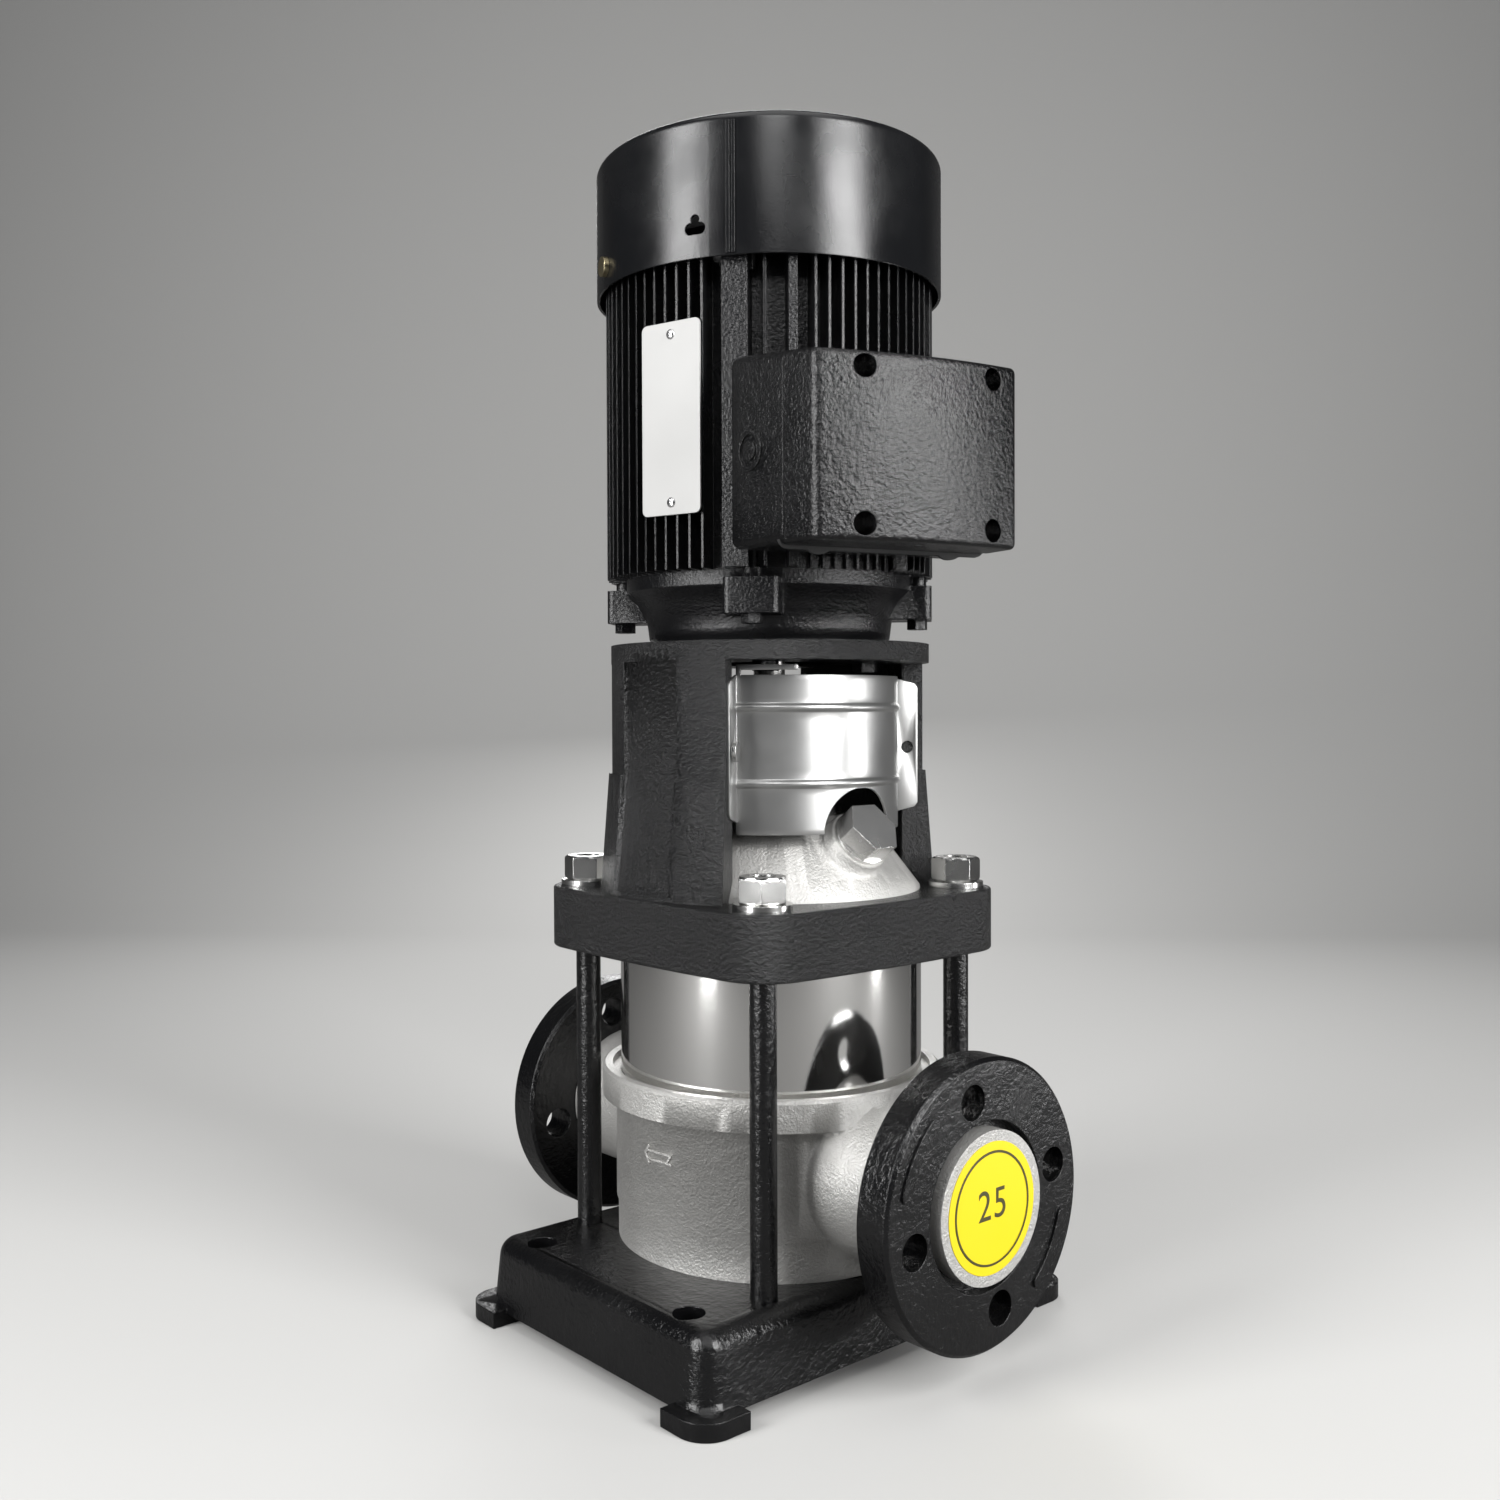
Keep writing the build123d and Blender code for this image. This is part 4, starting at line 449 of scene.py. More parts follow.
# %% Rubber, ceramic and plastics
for plain_name, plain_colour, plain_roughness in [
    ("gasket_rubber", (0.02, 0.02, 0.02), 0.7),
    ("ceramic_dark", (0.04, 0.04, 0.045), 0.25),
    ("fan_plastic", (0.02, 0.02, 0.02), 0.5),
    ("block_plastic", (0.06, 0.03, 0.02), 0.45),
]:
    finishes[plain_name] = finish_paint(
        plain_name, plain_colour, plain_roughness,
        group_values={"Grain Scale": 1400.0, "Swell Scale": 80.0, "Swell": 0.4},
        bump_depth=0.0001, bump_strength=0.3,
    )
finishes["sticker_yellow"] = finish_paint(
    "sticker_yellow", (0.70, 0.56, 0.0), 0.5,
    group_values={"Grain Scale": 1600.0, "Swell Scale": 60.0, "Swell": 0.8},
    bump_depth=0.0001, bump_strength=0.2, dust=0.05, dust_colour=(0.7, 0.62, 0.1),
)
finishes["print_black"] = finish_paint(
    "print_black", (0.05, 0.045, 0.01), 0.45,
    group_values={"Grain Scale": 1600.0, "Swell Scale": 60.0, "Swell": 0.8},
    bump_depth=0.00005, bump_strength=0.2, dust=0.05,
)
print("finishes in all:", len(finishes))

# %% [markdown]
# ## Smooth skins over the solid pieces
# A solid model comes as loose triangles, which would show every facet of a round surface.
# A copy of the mesh is welded, its flat facets are joined into one face each, and it is
# shaded smooth but kept sharp where two faces meet at an edge. The joined facets matter on
# bright sheet: long thin triangles would tilt the shading and leave streaks.

# %% Skins
def dress(piece, slot, body, *replaced):
    """Gives a piece its finish, its body and the solid nodes that it stands for."""
    piece.data.materials.clear()
    piece.data.materials.append(finishes[slot])
    for node in replaced:
        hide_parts(node)
    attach(piece, body)
    return piece


def mesh_piece(name, work, sharp_angle=None):
    """A linked object from a finished bmesh, shaded smooth between edges if an angle is given."""
    mesh = bpy.data.meshes.new(name)
    work.to_mesh(mesh)
    work.free()
    if sharp_angle is not None:
        mesh.shade_smooth()
        mesh.set_sharp_from_angle(angle=math.radians(sharp_angle))
    piece = bpy.data.objects.new(name, mesh)
    bpy.context.scene.collection.objects.link(piece)
    return piece


def settle(piece, sharp_angle):
    """Applies a piece's modifiers, so that a plain mesh remains, and shades it smooth."""
    mesh = bpy.data.meshes.new_from_object(
        piece.evaluated_get(bpy.context.evaluated_depsgraph_get())
    )
    piece.modifiers.clear()
    piece.data = mesh
    mesh.shade_smooth()
    mesh.set_sharp_from_angle(angle=math.radians(sharp_angle))
    return mesh


def join_loops(work, loops):
    """Fills the bands between neighbouring closed loops of points."""
    for near, far in zip(loops, loops[1:]):
        for n in range(len(near)):
            after = (n + 1) % len(near)
            work.faces.new((near[n], near[after], far[after], far[n]))


def skin(node, sharp_angle=28):
    """A welded, smooth-shaded copy of a solid node, with its finish."""
    mesh = nodes[node].data.copy()
    mesh.name = f"{node}_skin"
    work = bmesh.new()
    work.from_mesh(mesh)
    bmesh.ops.remove_doubles(work, verts=work.verts, dist=2e-6)
    bmesh.ops.dissolve_limit(
        work, angle_limit=math.radians(0.4), verts=work.verts, edges=work.edges
    )
    work.to_mesh(mesh)
    work.free()
    mesh.shade_smooth()
    mesh.set_sharp_from_angle(angle=math.radians(sharp_angle))
    piece = bpy.data.objects.new(f"{node}_skin", mesh)
    bpy.context.scene.collection.objects.link(piece)
    return dress(piece, slot_of_node[node], body_of_node[node], node)


rebuilt = {
    "motor_frame", "tie_rod_nuts", "nameplate_rivets", "coupling_guard_front",
    "coupling_guard_rear", "terminal_box_base", "terminal_box_lid",
}
skins = {node: skin(node) for node in sorted(set(nodes) - rebuilt)}
print("skins:", len(skins), "with", sum(len(s.data.polygons) for s in skins.values()), "faces")

# %% [markdown]
# ## Pieces that repeat
# Fins, nuts and rivets follow a rule, and Geometry Nodes state it: make one, then place it
# wherever the rule says. Each tree has named inputs for its sizes, ends in Realize Instances
# and Set Material, and is run once so that a plain mesh remains.

# %% Node tree helpers
def new_tree(name, inputs):
    """An empty Geometry Nodes tree with number inputs, a finish input and a mesh output."""
    tree = bpy.data.node_groups.new(name, "GeometryNodeTree")
    for label, value in inputs.items():
        kind = "NodeSocketInt" if isinstance(value, int) else "NodeSocketFloat"
        socket = tree.interface.new_socket(label, in_out="INPUT", socket_type=kind)
        socket.default_value = value
    tree.interface.new_socket("Finish", in_out="INPUT", socket_type="NodeSocketMaterial")
    tree.interface.new_socket("Mesh", in_out="OUTPUT", socket_type="NodeSocketGeometry")
    return tree, tree.nodes.new("NodeGroupInput").outputs


def place(tree, kind, sockets, **settings):
    """Adds a geometry node, sets its options and fills its sockets by name or number."""
    node = tree.nodes.new(kind)
    for option, value in settings.items():
        setattr(node, option, value)
    for label, value in sockets.items():
        if isinstance(value, bpy.types.NodeSocket):
            tree.links.new(value, node.inputs[label])
        else:
            node.inputs[label].default_value = value
    return node.outputs[0]


def vector(tree, x=0.0, y=0.0, z=0.0):
    """A vector whose three parts may be numbers or other nodes' outputs."""
    return place(tree, "ShaderNodeCombineXYZ", {0: x, 1: y, 2: z})


def join(tree, *parts):
    """Joins several geometries into one."""
    node = tree.nodes.new("GeometryNodeJoinGeometry")
    for part in parts:
        tree.links.new(part, node.inputs[0])
    return node.outputs[0]


def ring_of(tree, item, count, start, step, radius=0.0, keep=None):
    """Instances of an item about the shaft: number n is turned by start + n * step radians."""
    spots = place(tree, "GeometryNodePoints", {"Count": count})
    number = place(tree, "GeometryNodeInputIndex", {})
    turned = math_node(tree, "ADD", math_node(tree, "MULTIPLY", number, step), start)
    across = math_node(tree, "MULTIPLY", math_node(tree, "COSINE", turned, 0), radius)
    upward = math_node(tree, "MULTIPLY", math_node(tree, "SINE", turned, 0), radius)
    moved = place(tree, "GeometryNodeSetPosition", {
        "Geometry": spots, "Position": vector(tree, across, upward),
    })
    sockets = {"Points": moved, "Instance": item, "Rotation": vector(tree, 0.0, 0.0, turned)}
    if keep is not None:
        sockets["Selection"] = keep(turned)
    return place(tree, "GeometryNodeInstanceOnPoints", sockets)


def close_tree(tree, geometry, finish):
    """Realizes instances, sets the finish and connects the tree's output."""
    solid = place(tree, "GeometryNodeRealizeInstances", {"Geometry": geometry})
    painted = place(tree, "GeometryNodeSetMaterial", {"Geometry": solid, "Material": finish})
    tree.links.new(painted, tree.nodes.new("NodeGroupOutput").inputs[0])


def grow(name, tree, values, slot, body, *replaced, sharp_angle=30):
    """Runs a tree on an empty object, keeps its result as a plain mesh and dresses it."""
    piece = bpy.data.objects.new(name, bpy.data.meshes.new(name))
    bpy.context.scene.collection.objects.link(piece)
    modifier = piece.modifiers.new(name, "NODES")
    modifier.node_group = tree
    for item in tree.interface.items_tree:
        if item.in_out == "INPUT":
            wanted = finishes[slot] if item.name == "Finish" else values.get(item.name)
            if wanted is not None:
                modifier[item.identifier] = wanted
    mesh = settle(piece, sharp_angle)
    mesh.name = name
    print(name, "has", len(mesh.polygons), "faces")
    return dress(piece, slot, body, *replaced)


# %% [markdown]
# ## Finned motor frame
# The real frame is a die casting: a thin shell with tapered fins that run its whole height.
# Each of its four corners leaves the fins out for a broad pad, a thin rib and a strip, where
# the long screws pass. In front of the terminal box the fins are cut down to its seat.

# %% Finned motor frame
def add_prism(tree, base, top, length, low, high, start):
    """An upright prism of trapezoid section that points outwards from a radius."""
    outline = place(
        tree, "GeometryNodeCurvePrimitiveQuadrilateral",
        {"Height": length, "Bottom Width": base, "Top Width": top, "Offset": 0.0}, mode="TRAPEZOID",
    )
    rounded = place(
        tree, "GeometryNodeFilletCurve",
        {"Curve": outline, "Count": 2, "Radius": 0.0005, "Limit Radius": True}, mode="POLY",
    )
    face = place(tree, "GeometryNodeFillCurve", {0: rounded}, mode="NGONS")
    height = math_node(tree, "SUBTRACT", high, low)
    raised = place(
        tree, "GeometryNodeExtrudeMesh",
        {"Mesh": face, "Offset": vector(tree, 0.0, 0.0, 1.0), "Offset Scale": height, "Individual": False},
    )
    underside = place(tree, "GeometryNodeFlipFaces", {"Mesh": face})
    closed = place(tree, "GeometryNodeMergeByDistance", {"Geometry": join(tree, raised, underside)})
    middle = math_node(tree, "ADD", start, math_node(tree, "MULTIPLY", length, 0.5))
    return place(
        tree, "GeometryNodeTransform",
        {"Geometry": closed, "Translation": vector(tree, middle, 0.0, low),
         "Rotation": (0.0, 0.0, math.radians(-90))},
    )


frame_low, frame_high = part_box("motor_frame")
fin_radius = frame_high.x
seat_low, seat_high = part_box("terminal_box_base")
finned, sizes_in = new_tree("finned_shell", {
    "Fins": 78, "Root Radius": 0.0635, "Fin Radius": 0.0727, "Fin Foot": 0.0021, "Fin Tip": 0.0015,
    "Low": 0.325, "High": 0.452, "Seat Low": 0.326, "Seat High": 0.405, "Seat Radius": 0.0658,
    "Seat Angle": -0.2705, "Seat Reach": 0.43, "Corner Angle": -0.855,
})
inner = math_node(finned, "SUBTRACT", sizes_in["Root Radius"], 0.0008)
fin_length = math_node(finned, "SUBTRACT", sizes_in["Fin Radius"], inner)
low_length = math_node(finned, "SUBTRACT", sizes_in["Seat Radius"], inner)
foot, tip = sizes_in["Fin Foot"], sizes_in["Fin Tip"]
full_fin = add_prism(finned, foot, tip, fin_length, sizes_in["Low"], sizes_in["High"], inner)
upper_fin = add_prism(finned, foot, tip, fin_length, sizes_in["Seat High"], sizes_in["High"], inner)
seat_fin = add_prism(finned, foot, tip, low_length, sizes_in["Low"], sizes_in["Seat High"], inner)


def wrapped(tree, turned, about, span):
    """An angle's distance from another, wrapped into plus or minus half a span."""
    shifted = math_node(tree, "ADD", math_node(tree, "SUBTRACT", turned, about), span / 2)
    return math_node(tree, "SUBTRACT", math_node(tree, "FLOORED_MODULO", shifted, span), span / 2)


def clear_of_corners(turned):
    """True where a fin stands clear of the pads, ribs and strips at the corners."""
    from_corner = wrapped(finned, turned, sizes_in["Corner Angle"], math.pi / 2)
    before = math_node(finned, "LESS_THAN", from_corner, math.radians(-13.5))
    after = math_node(finned, "GREATER_THAN", from_corner, math.radians(17.5))
    return math_node(finned, "MAXIMUM", before, after)


def beside_seat(turned, inside):
    """True for fins in front of the terminal box's seat, or for all the others."""
    away = math_node(finned, "ABSOLUTE", wrapped(finned, turned, sizes_in["Seat Angle"], math.tau), 0)
    test = "LESS_THAN" if inside else "GREATER_THAN"
    there = math_node(finned, test, away, sizes_in["Seat Reach"])
    return math_node(finned, "MULTIPLY", there, clear_of_corners(turned))


step = math_node(finned, "DIVIDE", math.tau, sizes_in["Fins"])
fin_rings = [
    ring_of(finned, full_fin, sizes_in["Fins"], 0.0, step, keep=lambda turned: beside_seat(turned, False)),
    ring_of(finned, upper_fin, sizes_in["Fins"], 0.0, step, keep=lambda turned: beside_seat(turned, True)),
    ring_of(finned, seat_fin, sizes_in["Fins"], 0.0, step, keep=lambda turned: beside_seat(turned, True)),
]
corner_length = math_node(finned, "SUBTRACT", fin_length, 0.0006)
for strip_turn, strip_width in [(-4.8, 0.011), (4.9, 0.0016), (14.0, 0.0040)]:
    strip = add_prism(
        finned, strip_width, strip_width, corner_length, sizes_in["Low"], sizes_in["High"], inner
    )
    strip_start = math_node(finned, "ADD", sizes_in["Corner Angle"], math.radians(strip_turn))
    fin_rings.append(ring_of(finned, strip, 4, strip_start, math.pi / 2))
shell_side = place(
    finned, "GeometryNodeCurvePrimitiveCircle", {"Resolution": 160, "Radius": sizes_in["Root Radius"]}
)
shell_height = math_node(finned, "SUBTRACT", sizes_in["High"], sizes_in["Low"])
shell_face = place(finned, "GeometryNodeFillCurve", {0: shell_side}, mode="NGONS")
shell = place(
    finned, "GeometryNodeExtrudeMesh",
    {"Mesh": shell_face, "Offset": vector(finned, 0.0, 0.0, 1.0), "Offset Scale": shell_height,
     "Individual": False},
)
shell_foot = place(finned, "GeometryNodeFlipFaces", {"Mesh": shell_face})
shell_closed = place(finned, "GeometryNodeMergeByDistance", {"Geometry": join(finned, shell, shell_foot)})
shell_raised = place(
    finned, "GeometryNodeTransform",
    {"Geometry": shell_closed, "Translation": vector(finned, 0.0, 0.0, sizes_in["Low"])},
)
close_tree(finned, join(finned, shell_raised, *fin_rings), sizes_in["Finish"])
grow(
    "finned_frame", finned,
    {"Fin Radius": fin_radius, "Low": frame_low.z, "High": frame_high.z,
     "Seat Low": seat_low.z, "Seat High": seat_high.z + 0.002},
    "black_motor_paint", body_of_node["motor_frame"], "motor_frame",
)

# %% [markdown]
# ## Hexagon nuts
# A real nut is a hexagonal bar turned conical at both ends, which leaves curved edges where
# the cone cuts the flats. The rule is one line: at each height a point lies on the hexagon
# or on the cone, whichever is nearer the axis. The bore is cut afterwards.

# %% Hexagon nuts
nut_low, nut_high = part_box("tie_rod_nuts")
nuts, nut_in = new_tree("coned_nuts", {
    "Count": 4, "Circle Radius": 0.0824, "Across Flats": 0.0185, "Height": 0.0108,
    "Bore Radius": 0.0054, "Base": 0.1915, "First Angle": 0.7854, "Cone Slope": 1.7,
})
half_flat = math_node(nuts, "MULTIPLY", nut_in["Across Flats"], 0.5)
bar = place(nuts, "GeometryNodeMeshCylinder", {
    "Vertices": 96, "Side Segments": 14, "Fill Segments": 3, "Radius": half_flat, "Depth": nut_in["Height"],
})
place_now = axis_split(nuts, place(nuts, "GeometryNodeInputPosition", {}))
bearing = math_node(nuts, "ARCTAN2", place_now[1], place_now[0])
from_flat = math_node(
    nuts, "SUBTRACT", math_node(nuts, "FLOORED_MODULO", bearing, math.pi / 3), math.pi / 6
)
hexagon = math_node(nuts, "DIVIDE", 1.0, math_node(nuts, "COSINE", from_flat, 0))
rise = math_node(nuts, "SUBTRACT", math_node(nuts, "MULTIPLY", nut_in["Height"], 0.5),
                 math_node(nuts, "ABSOLUTE", place_now[2], 0))
cone = math_node(
    nuts, "ADD", 0.985,
    math_node(nuts, "DIVIDE", math_node(nuts, "MULTIPLY", rise, nut_in["Cone Slope"]), half_flat),
)
factor = math_node(nuts, "MINIMUM", hexagon, cone)
shaped = place(nuts, "GeometryNodeSetPosition", {
    "Geometry": bar,
    "Position": vector(
        nuts, math_node(nuts, "MULTIPLY", place_now[0], factor),
        math_node(nuts, "MULTIPLY", place_now[1], factor), place_now[2],
    ),
})
drill = place(nuts, "GeometryNodeMeshCylinder", {
    "Vertices": 32, "Radius": nut_in["Bore Radius"],
    "Depth": math_node(nuts, "MULTIPLY", nut_in["Height"], 1.5),
})
bored = place(nuts, "GeometryNodeMeshBoolean", {"Mesh 1": shaped, "Mesh 2": drill}, operation="DIFFERENCE")
centre = math_node(nuts, "ADD", nut_in["Base"], math_node(nuts, "MULTIPLY", nut_in["Height"], 0.5))
seated = place(nuts, "GeometryNodeTransform", {
    "Geometry": bored, "Translation": vector(nuts, 0.0, 0.0, centre),
})
nut_ring = ring_of(nuts, seated, nut_in["Count"], nut_in["First Angle"], math.pi / 2, nut_in["Circle Radius"])
close_tree(nuts, nut_ring, nut_in["Finish"])
grow(
    "coned_tie_rod_nuts", nuts, {"Base": nut_low.z, "Height": nut_high.z - nut_low.z},
    "zinc_bright", body_of_node["tie_rod_nuts"], "tie_rod_nuts", sharp_angle=20,
)

# %% [markdown]
# ## Rivets on the plate
# Two blind rivets hold the plate. Each has a low domed head with the stub of its broken
# mandrel in the middle, so one tree places a dome and a small pin at both spots.

# %% Rivets on the plate
plate_low, plate_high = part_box("nameplate")
rivets, rivet_in = new_tree("blind_rivets", {
    "Head Radius": 0.0021, "Head Height": 0.0009, "Seat Radius": 0.0737, "Low": 0.352,
    "Spacing": 0.068, "Bearing": -1.3177,
})
dome = place(rivets, "GeometryNodeMeshUVSphere", {"Segments": 24, "Rings": 12, "Radius": 1.0})
dome_size = vector(rivets, rivet_in["Head Height"], rivet_in["Head Radius"], rivet_in["Head Radius"])
pin_length = math_node(rivets, "MULTIPLY", rivet_in["Head Height"], 1.3)
stub_size = vector(
    rivets, pin_length, math_node(rivets, "MULTIPLY", rivet_in["Head Radius"], 0.36),
    math_node(rivets, "MULTIPLY", rivet_in["Head Radius"], 0.36),
)
domed = place(rivets, "GeometryNodeTransform", {"Geometry": dome, "Scale": dome_size})
stub = place(rivets, "GeometryNodeTransform", {"Geometry": dome, "Scale": stub_size})
one_rivet = place(rivets, "GeometryNodeTransform", {
    "Geometry": join(rivets, domed, stub), "Translation": vector(rivets, rivet_in["Seat Radius"], 0.0, 0.0),
})
spots = place(rivets, "GeometryNodeMeshLine", {
    "Count": 2, "Start Location": vector(rivets, 0.0, 0.0, rivet_in["Low"]),
    "Offset": vector(rivets, 0.0, 0.0, rivet_in["Spacing"]),
})
rivet_pair = place(rivets, "GeometryNodeInstanceOnPoints", {
    "Points": spots, "Instance": one_rivet, "Rotation": vector(rivets, 0.0, 0.0, rivet_in["Bearing"]),
})
close_tree(rivets, rivet_pair, rivet_in["Finish"])
grow(
    "domed_rivets", rivets,
    {"Low": plate_low.z + 0.005, "Spacing": plate_high.z - plate_low.z - 0.010},
    "rivet_aluminium", body_of_node["nameplate_rivets"], "nameplate_rivets",
)

# %% [markdown]
# ## Coupling guards
# Each guard is one strip of bright sheet, rolled to an arc and stiffened by two pressed beads.
# Its ends turn outwards into lugs that are screwed to the legs. The front one is notched
# round the priming plug. A grid over the unrolled sheet gives clean highlights on the beads:
# its lowest row follows the notch, and the radius swells where a bead runs.

# %% Coupling guards
guard_radius, guard_foot, guard_head = 0.0574, 0.216, 0.282
guard_sheet = 0.001
bead_heights = [0.237, 0.2685]
arch_radius = 0.019
guard_half = math.radians(57.2)


def bead_swell(height):
    """How far the sheet stands proud at a height, as a smooth pressed bead."""
    nearest = min(abs(height - bead) for bead in bead_heights)
    return 0.0011 * math.cos(min(nearest / 0.0021, 1.0) * math.pi / 2) ** 2


def polar(radius, angle, height):
    """A point at a radius, an angle and a height about the shaft."""
    return Vector((radius * math.cos(angle), radius * math.sin(angle), height))


def sheet_patch(work, angles, row_heights, radius, swell=lambda height: 0.0):
    """A grid of faces over a curved sheet. row_heights gives one list for each angle."""
    columns = [
        [work.verts.new(polar(radius + swell(height), angle, height)) for height in heights]
        for angle, heights in zip(angles, row_heights)
    ]
    for left, right in zip(columns, columns[1:]):
        for n in range(len(left) - 1):
            work.faces.new((left[n], right[n], right[n + 1], left[n + 1]))


def even(start, end, count):
    """Evenly spaced numbers from start to end."""
    return [start + (end - start) * n / count for n in range(count + 1)]


def guard(name, middle, node, notched):
    """One beaded guard with its lugs, and for the front one its notch and its top strip."""
    work = bmesh.new()
    radius = guard_radius - guard_sheet
    notch_half = math.asin(arch_radius / radius)
    turns = sorted(
        even(-guard_half, -notch_half, 14)[:-1]
        + [notch_half * math.sin(a) for a in even(-math.pi / 2, math.pi / 2, 24)]
        + even(notch_half, guard_half, 14)[1:]
    )
    first_bead, second_bead = bead_heights
    upper = even(first_bead - 0.0021, first_bead + 0.0021, 10)
    upper += even(first_bead + 0.0021, second_bead - 0.0021, 8)[1:-1]
    upper += even(second_bead - 0.0021, second_bead + 0.0021, 10)
    upper += even(second_bead + 0.0021, guard_head, 5)[1:]
    heights = []
    for turned in turns:
        across = min(abs(radius * math.sin(turned)) / arch_radius, 1.0)
        foot = guard_foot + (arch_radius * math.sqrt(1 - across * across) if notched else 0.0)
        foot = min(foot, first_bead - 0.0023)
        heights.append(even(foot, first_bead - 0.0021, 8)[:-1] + upper)
    sheet_patch(work, [middle + t for t in turns], heights, radius, bead_swell)
    if notched:
        strip = [math.radians(a) for a in even(-57.0, -31.0, 13)]
        sheet_patch(work, strip, [even(0.284, 0.2863, 2)] * len(strip), radius)
        sheet_patch(work, strip[:2], [even(0.2815, 0.2845, 2)] * 2, radius)
    for side in (-1, 1):
        edge = middle + side * guard_half
        outline = [
            polar(radius, edge, 0.221), polar(0.0665, edge, 0.2235), polar(0.068, edge, 0.2255),
            polar(0.068, edge, 0.2775), polar(0.0666, edge, 0.2792), polar(radius, edge, guard_head),
        ]
        hole = [
            polar(0.0633 + 0.0028 * math.cos(a), edge, 0.2505 + 0.0028 * math.sin(a))
            for a in even(0, math.tau, 20)[:-1]
        ]
        loops = []
        for loop in (outline, hole):
            verts = [work.verts.new(p) for p in loop]
            loops += [work.edges.new((v, w)) for v, w in zip(verts, verts[1:] + verts[:1])]
        bmesh.ops.triangle_fill(work, edges=loops, use_beauty=True)
    bmesh.ops.recalc_face_normals(work, faces=work.faces)
    piece = mesh_piece(name, work)
    thicken = piece.modifiers.new("sheet", "SOLIDIFY")
    thicken.thickness = guard_sheet
    thicken.offset = 0.0
    rounding = piece.modifiers.new("edges", "BEVEL")
    rounding.width = 0.0002
    rounding.segments = 2
    rounding.angle_limit = math.radians(50)
    settled = settle(piece, 50)
    print(name, "has", len(settled.polygons), "faces")
    return dress(piece, "guard_sheet", body_of_node[node], node)


guard("beaded_guard_front", 0.0, "coupling_guard_front", True)
guard("beaded_guard_rear", math.pi, "coupling_guard_rear", False)

# %% [markdown]
# ## Seam of the fan cowl
# The cowl is a strip of sheet rolled up and lapped, so a narrow step runs up its side. Two
# thin curved strips stand about half a millimetre proud, with a narrow gap between them.

# %% Seam of the fan cowl
def finish_sheet(name, work, thickness, slot, body, *replaced, sharp_angle=40):
    """Turns a grid of faces into a sheet with thickness, finish and body."""
    bmesh.ops.recalc_face_normals(work, faces=work.faces)
    piece = mesh_piece(name, work)
    thicken = piece.modifiers.new("sheet", "SOLIDIFY")
    thicken.thickness = thickness
    thicken.offset = 0.0
    settle(piece, sharp_angle)
    return dress(piece, slot, body, *replaced)


cowl_low, cowl_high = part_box("fan_cowl")
seam_work = bmesh.new()
for seam_start, seam_end, seam_rise in [(-53.9, -52.8, 0.0004), (-55.6, -54.4, 0.0004)]:
    turns = [math.radians(a) for a in even(seam_start, seam_end, 4)]
    rows = [even(cowl_low.z + 0.0006, cowl_high.z - 0.0042, 6)] * len(turns)
    sheet_patch(seam_work, turns, rows, cowl_high.x + seam_rise)
finish_sheet("cowl_seam", seam_work, 0.0003, "black_cowl_paint", body_of_node["fan_cowl"])
print("seam runs up", round(cowl_high.z - cowl_low.z, 3), "m")

# %% [markdown]
# ## Terminal box
# The box narrows towards its lid, and its lid is gently crowned from side to side. Narrow
# columns over the crown keep its shading even where four screw wells are cut into it. The
# base is an open shell with a rounded outline, and a fine gap parts it from the lid. The lid
# is a full block, as its inside is never seen. The box, its split and its wells lie a few
# millimetres from those of the solid model. The gasket keeps the solid's place, so its edge
# shows a little below the box.

# %% Terminal box
box_bearing = math.radians(-15.5)
box_back, box_split, box_edge, box_crown = 0.066, 0.1004, 0.120, 0.1277
box_corner = 0.0024
box_edge_angle = 35  # degrees, above which a fold of the box is shaded as an edge
round_facets = 40
well_radius, well_floor = 0.0044, 0.106
well_across = (-0.0254, 0.0315)
well_heights = (0.3353, 0.3925)
box_body = body_of_node["terminal_box_lid"]


def box_point(across, height, depth):
    """A point of the box: across its face, up, and out from the shaft."""
    return Vector((
        depth * math.cos(box_bearing) - across * math.sin(box_bearing),
        depth * math.sin(box_bearing) + across * math.cos(box_bearing),
        height,
    ))


def box_sides(depth):
    """Left, right, low and high sides of the tapered box at a depth."""
    share = (depth - box_back) / (box_edge - box_back)
    half_width = 0.0515 - 0.0070 * share
    half_height = 0.0380 - 0.0031 * share
    middle, level = 0.0008 * share, 0.3681 - 0.0042 * share
    return middle - half_width, middle + half_width, level - half_height, level + half_height


def box_ring(work, depth, inset):
    """One rounded outline of the box at a depth, as mesh points."""
    left, right, low, high = box_sides(depth)
    ring = []
    for quarter, (u, v) in enumerate([(right, high), (left, high), (left, low), (right, low)]):
        centre_u = u - math.copysign(box_corner + inset, u)
        centre_v = v - math.copysign(box_corner + inset, v - (low + high) / 2)
        for a in even(quarter * math.pi / 2, (quarter + 1) * math.pi / 2, 6):
            ring.append(work.verts.new(box_point(
                centre_u + box_corner * math.cos(a), centre_v + box_corner * math.sin(a), depth
            )))
    return ring


base_work = bmesh.new()
base_wall = 0.004
base_depths = even(box_back + base_wall / 2, box_split, 8)
rings = [box_ring(base_work, depth, base_wall / 2) for depth in base_depths]
join_loops(base_work, rings)
base_work.faces.new(list(reversed(rings[0])))
finish_sheet(
    "box_base_shell", base_work, base_wall, "black_box_paint", box_body, "terminal_box_base"
)

